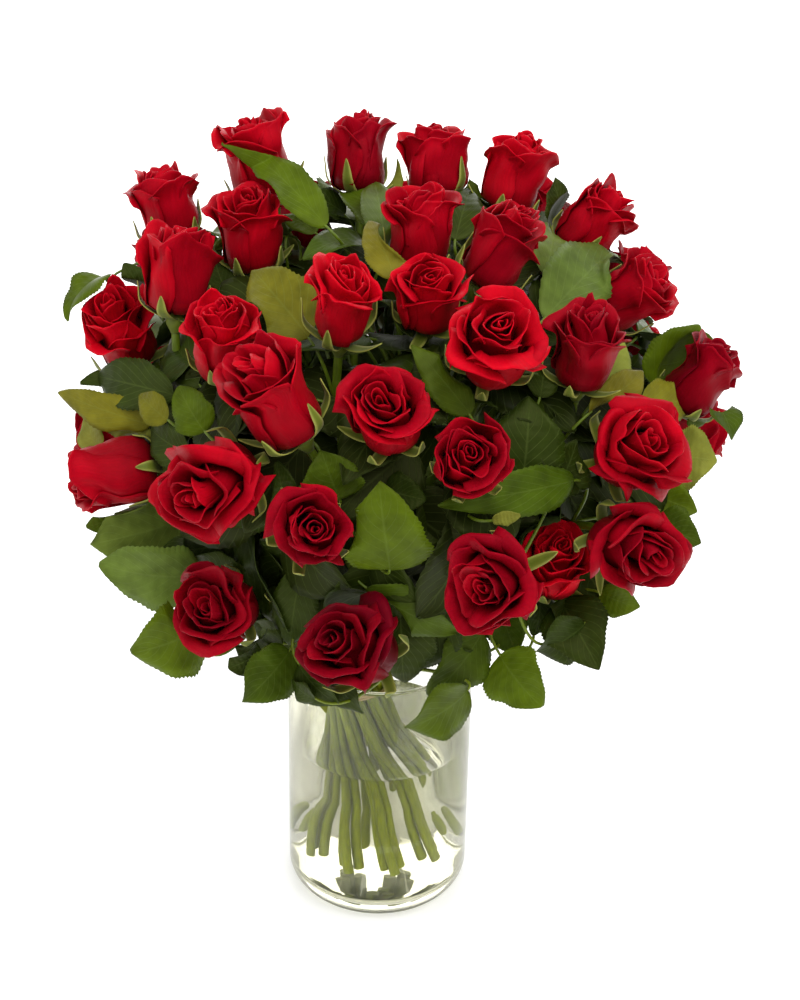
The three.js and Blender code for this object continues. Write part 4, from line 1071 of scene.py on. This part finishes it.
vein = add_node(tree, "ShaderNodeMath", {"operation": "MAXIMUM"}, {0: side_veins, 1: rib_line})
cloud = clouds(tree, 9, 4)
hue = add_node(tree, "ShaderNodeAttribute", {"attribute_name": "green"})
mottled = varied(tree, (hue, "Color"), cloud, (0.3, 0.7), (0.72, 1.2))
faint = add_node(tree, "ShaderNodeMath", {"operation": "MULTIPLY", 1: 0.10}, {0: vein})
veined = add_node(tree, "ShaderNodeMix", {"data_type": "RGBA", 7: linear("#7d9148")},
                  {0: faint, 6: mottled})
quilt = add_node(tree, "ShaderNodeMath", {"operation": "MULTIPLY_ADD", 1: -0.6}, {0: vein, 2: cloud})
coat(tree, {"Roughness": 0.45, "Specular IOR Level": 0.16, "Specular Tint": linear("#e8f0a0")},
     (veined, 2), quilt, 0.4, 0.35)

# Underside of a rose leaf: paler, greyer and quite matt, with a soft uneven bloom.
leaf_under, tree = new_material("rose leaf, matt underside")
hue = add_node(tree, "ShaderNodeAttribute", {"attribute_name": "green"})
cloud = clouds(tree, 6, 4)
pale = add_node(tree, "ShaderNodeMix", {"data_type": "RGBA", 7: linear("#566632")},
                {0: cloud, 6: (hue, "Color")})
coat(tree, {"Roughness": 0.65, "Specular IOR Level": 0.15}, (pale, 2), cloud, 0.4, 0.4)


def leaf_half_width(u):
    """Half the width of a leaflet at a share of its length, as a share of the widest."""
    return (u ** 0.6 * (1 - u)) / 0.335 if 0 < u < 1 else 0.0


def toothed_rows(teeth):
    """Rows of points to a leaflet, three to a tooth: its hollow, its point and the drop behind
    it, each with how far it stands out."""
    inner = [((k + part + 0.4) / (teeth + 0.6), bite) for k in range(teeth) for part, bite in TOOTH]
    return [(0.0, 0.0), *inner, (1.0, 0.0)]


def leaflet_mesh(leaf, leaf_rows, points, faces, marks, greens, sides):
    """Adds the two faces and the edge of one leaflet to the lists of its piece."""
    draw = seeded_draws(leaf["seed"] + 5000)
    surface = leaf_surface(leaf)
    curl, ripple, phase = draw(-0.06, 0.10), draw(0.03, 0.08), draw(*PHASE)
    lobes = (draw(*PHASE), draw(*PHASE))
    colour = linear(leaf["green"])
    lighter, yellower = draw(0.82, 1.1), draw(0.95, 1.1)
    colour = [colour[0] * lighter * yellower, colour[1] * lighter, colour[2] * lighter, 1.0]
    grid = []
    for u, bite in leaf_rows:
        half = leaf_half_width(u) * leaf["wide"] / 2
        for v in OUTWARD:
            lobe = 0.07 * math.sin(8 * u + lobes[v > 0]) + 0.03 * math.sin(21 * u + 2 * lobes[v > 0])
            out = v * (half * (1 + lobe + bite * 1.8 * (abs(v) == 1)) + (0.6 if 0 < u < 1 else 0.5))
            point = leaf_at(leaf, surface, u, out)
            bend = curl * leaf["wide"] * v * v * u
            bend += ripple * leaf["wide"] * v * v * math.sin(9 * u + phase + (2 if v > 0 else 0))
            fields = math.sin(2 * math.pi * SIDE_VEINS * (u - VEIN_SWEEP * abs(v)))
            swell = QUILT * fields * (1 - abs(v)) * abs(v) * 4
            grid.append((clear_of_roses(point + surface["up"] * (bend + swell)), (v, u)))
    count = len(grid)
    across = len(OUTWARD)
    for lift in (0.5, -0.5):
        start = len(points)
        for index, (point, mark) in enumerate(grid):
            edge = index % across in (0, across - 1) or index < across or index >= count - across
            points.append(point + surface["up"] * (lift * LEAF_THICK * (LEAF_EDGE if edge else 1)))
            marks.append(mark)
            greens.extend(colour)
        for i in range(len(leaf_rows) - 1):
            for a in range(start + i * across, start + (i + 1) * across - 1):
                square = (a, a + across, a + across + 1, a + 1)
                faces.append(tuple(reversed(square)) if lift > 0 else square)
                sides.append(0 if lift > 0 else 1)
    border = [*range(across), *range(2 * across - 1, count, across),
              *range(count - 2, count - across - 1, -1), *range(count - 2 * across, 0, -across)]
    for a, b in zip(border, border[1:] + border[:1]):
        faces.append((start - count + a, start + a, start + b, start - count + b))
        sides.append(1)


def leaf_piece(name, members, teeth):
    """One piece of many leaflets with so many teeth along each edge."""
    points, faces, marks, greens, sides = [], [], [], [], []
    for leaf in members:
        leaflet_mesh(leaf, toothed_rows(teeth), points, faces, marks, greens, sides)
    piece = mesh_piece(name, points, faces, [leaf_top, leaf_under])
    piece.data.polygons.foreach_set("material_index", sides)
    add_uv(piece, "leaf", marks)
    piece.data.attributes.new("green", "FLOAT_COLOR", "POINT").data.foreach_set("color", greens)
    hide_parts(*leafy_nodes)
    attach(piece, "root")


shown = len(SEEN_LEAFLETS) + len(SMALL_LEAFLETS)
leaf_piece("leaves_front", leaves[:shown], TEETH)
leaf_piece("leaves_back", leaves[shown:], TEETH)
leaf_piece("leaves_deep", fillers, DEEP_TEETH)


# ---- The leaf stalks.
# Each leaflet's stalk runs in a soft bow from a bud of a near stem to the foot of its blade. A
# bud that has a stalk already, or a way that a rose is in, counts as so many millimetres more.
KNOTS = (0.44, 0.51, 0.58, 0.65, 0.72, 0.79, 0.86)
TAKEN_COST = 25
ROSE_COST = 60
STALK_RADIUS = 1.0
STALK_SIDES = 8
STALK_STEPS = 10
STALK_SUNK = 2.5
STALK_BOW = 0.35
STALK_TAPER = 0.35

knots = [stem_point(stem, t) for stem in stems for t in KNOTS]
used = [0] * len(knots)
stalk_paths = []
for leaf in leaves + fillers:
    base = clear_of_roses(leaf["base"])
    costs = []
    for k, knot in enumerate(knots):
        cost = (knot - base).length + TAKEN_COST * used[k]
        line = base - knot
        for rose in roses:
            t = min(max((rose["middle"] - knot).dot(line) / line.dot(line), 0), 1)
            if (knot + line * t - rose["middle"]).length < 0.55 * rose["wide"]:
                cost += ROSE_COST
        costs.append(cost)
    k = costs.index(min(costs))
    used[k] += 1
    knot = knots[k]
    into = (leaf["tip"] - leaf["base"]).normalized()
    bow = base - into * (STALK_BOW * (base - knot).length)
    path = []
    for i in range(STALK_STEPS + 1):
        t = i / STALK_STEPS
        place = knot * (1 - t) ** 2 + bow * (2 * t * (1 - t)) + (base + into * STALK_SUNK) * t * t
        path.append((place, 1 - STALK_TAPER * t))
    stalk_paths.append(path)
stalks = rods("leaf_stalks", stalk_paths, STALK_RADIUS, STALK_SIDES)
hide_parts(*leafy_nodes)
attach(stalks, "root")


# ---- The tie.
# Two turns of raffia, a dry palm fibre, pull the stems together at the waist.
TIE_HEIGHT = 6.0
TIE_CORD = 1.5
TIE_GAP = 1.5
TIE_TURNS = 2
TIE_STEPS = 128
TIE_SIDES = 10

# Raffia: dry and quite matt, straw and brown by turns, in fine fibres along the cord.
raffia, tree = new_material("dry raffia")
strands = fibres(tree, 8, 0.5)
straw = add_node(tree, "ShaderNodeMix",
                 {"data_type": "RGBA", 6: linear("#8f7440"), 7: linear("#cdb67c")}, {0: strands})
coat(tree, {"Roughness": 0.8}, (straw, 2), strands, 0.7)

tie_radius = WAIST_OUTER + WAIST_PRESSED + STEM_RADIUS + TIE_GAP + TIE_CORD / 2
turns = []
for i in range(TIE_STEPS + 1):
    a = 2 * math.pi * TIE_TURNS * i / TIE_STEPS
    rise = (i / TIE_STEPS - 0.5) * TIE_HEIGHT / TIE_TURNS
    turns.append((WAIST + Vector((tie_radius * math.cos(a), tie_radius * math.sin(a), rise)), 1.0))
tie = rods("raffia_tie", [turns], TIE_CORD, TIE_SIDES)
tie.data.materials.clear()
tie.data.materials.append(raffia)
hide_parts("binding_tie")
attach(tie, "root")
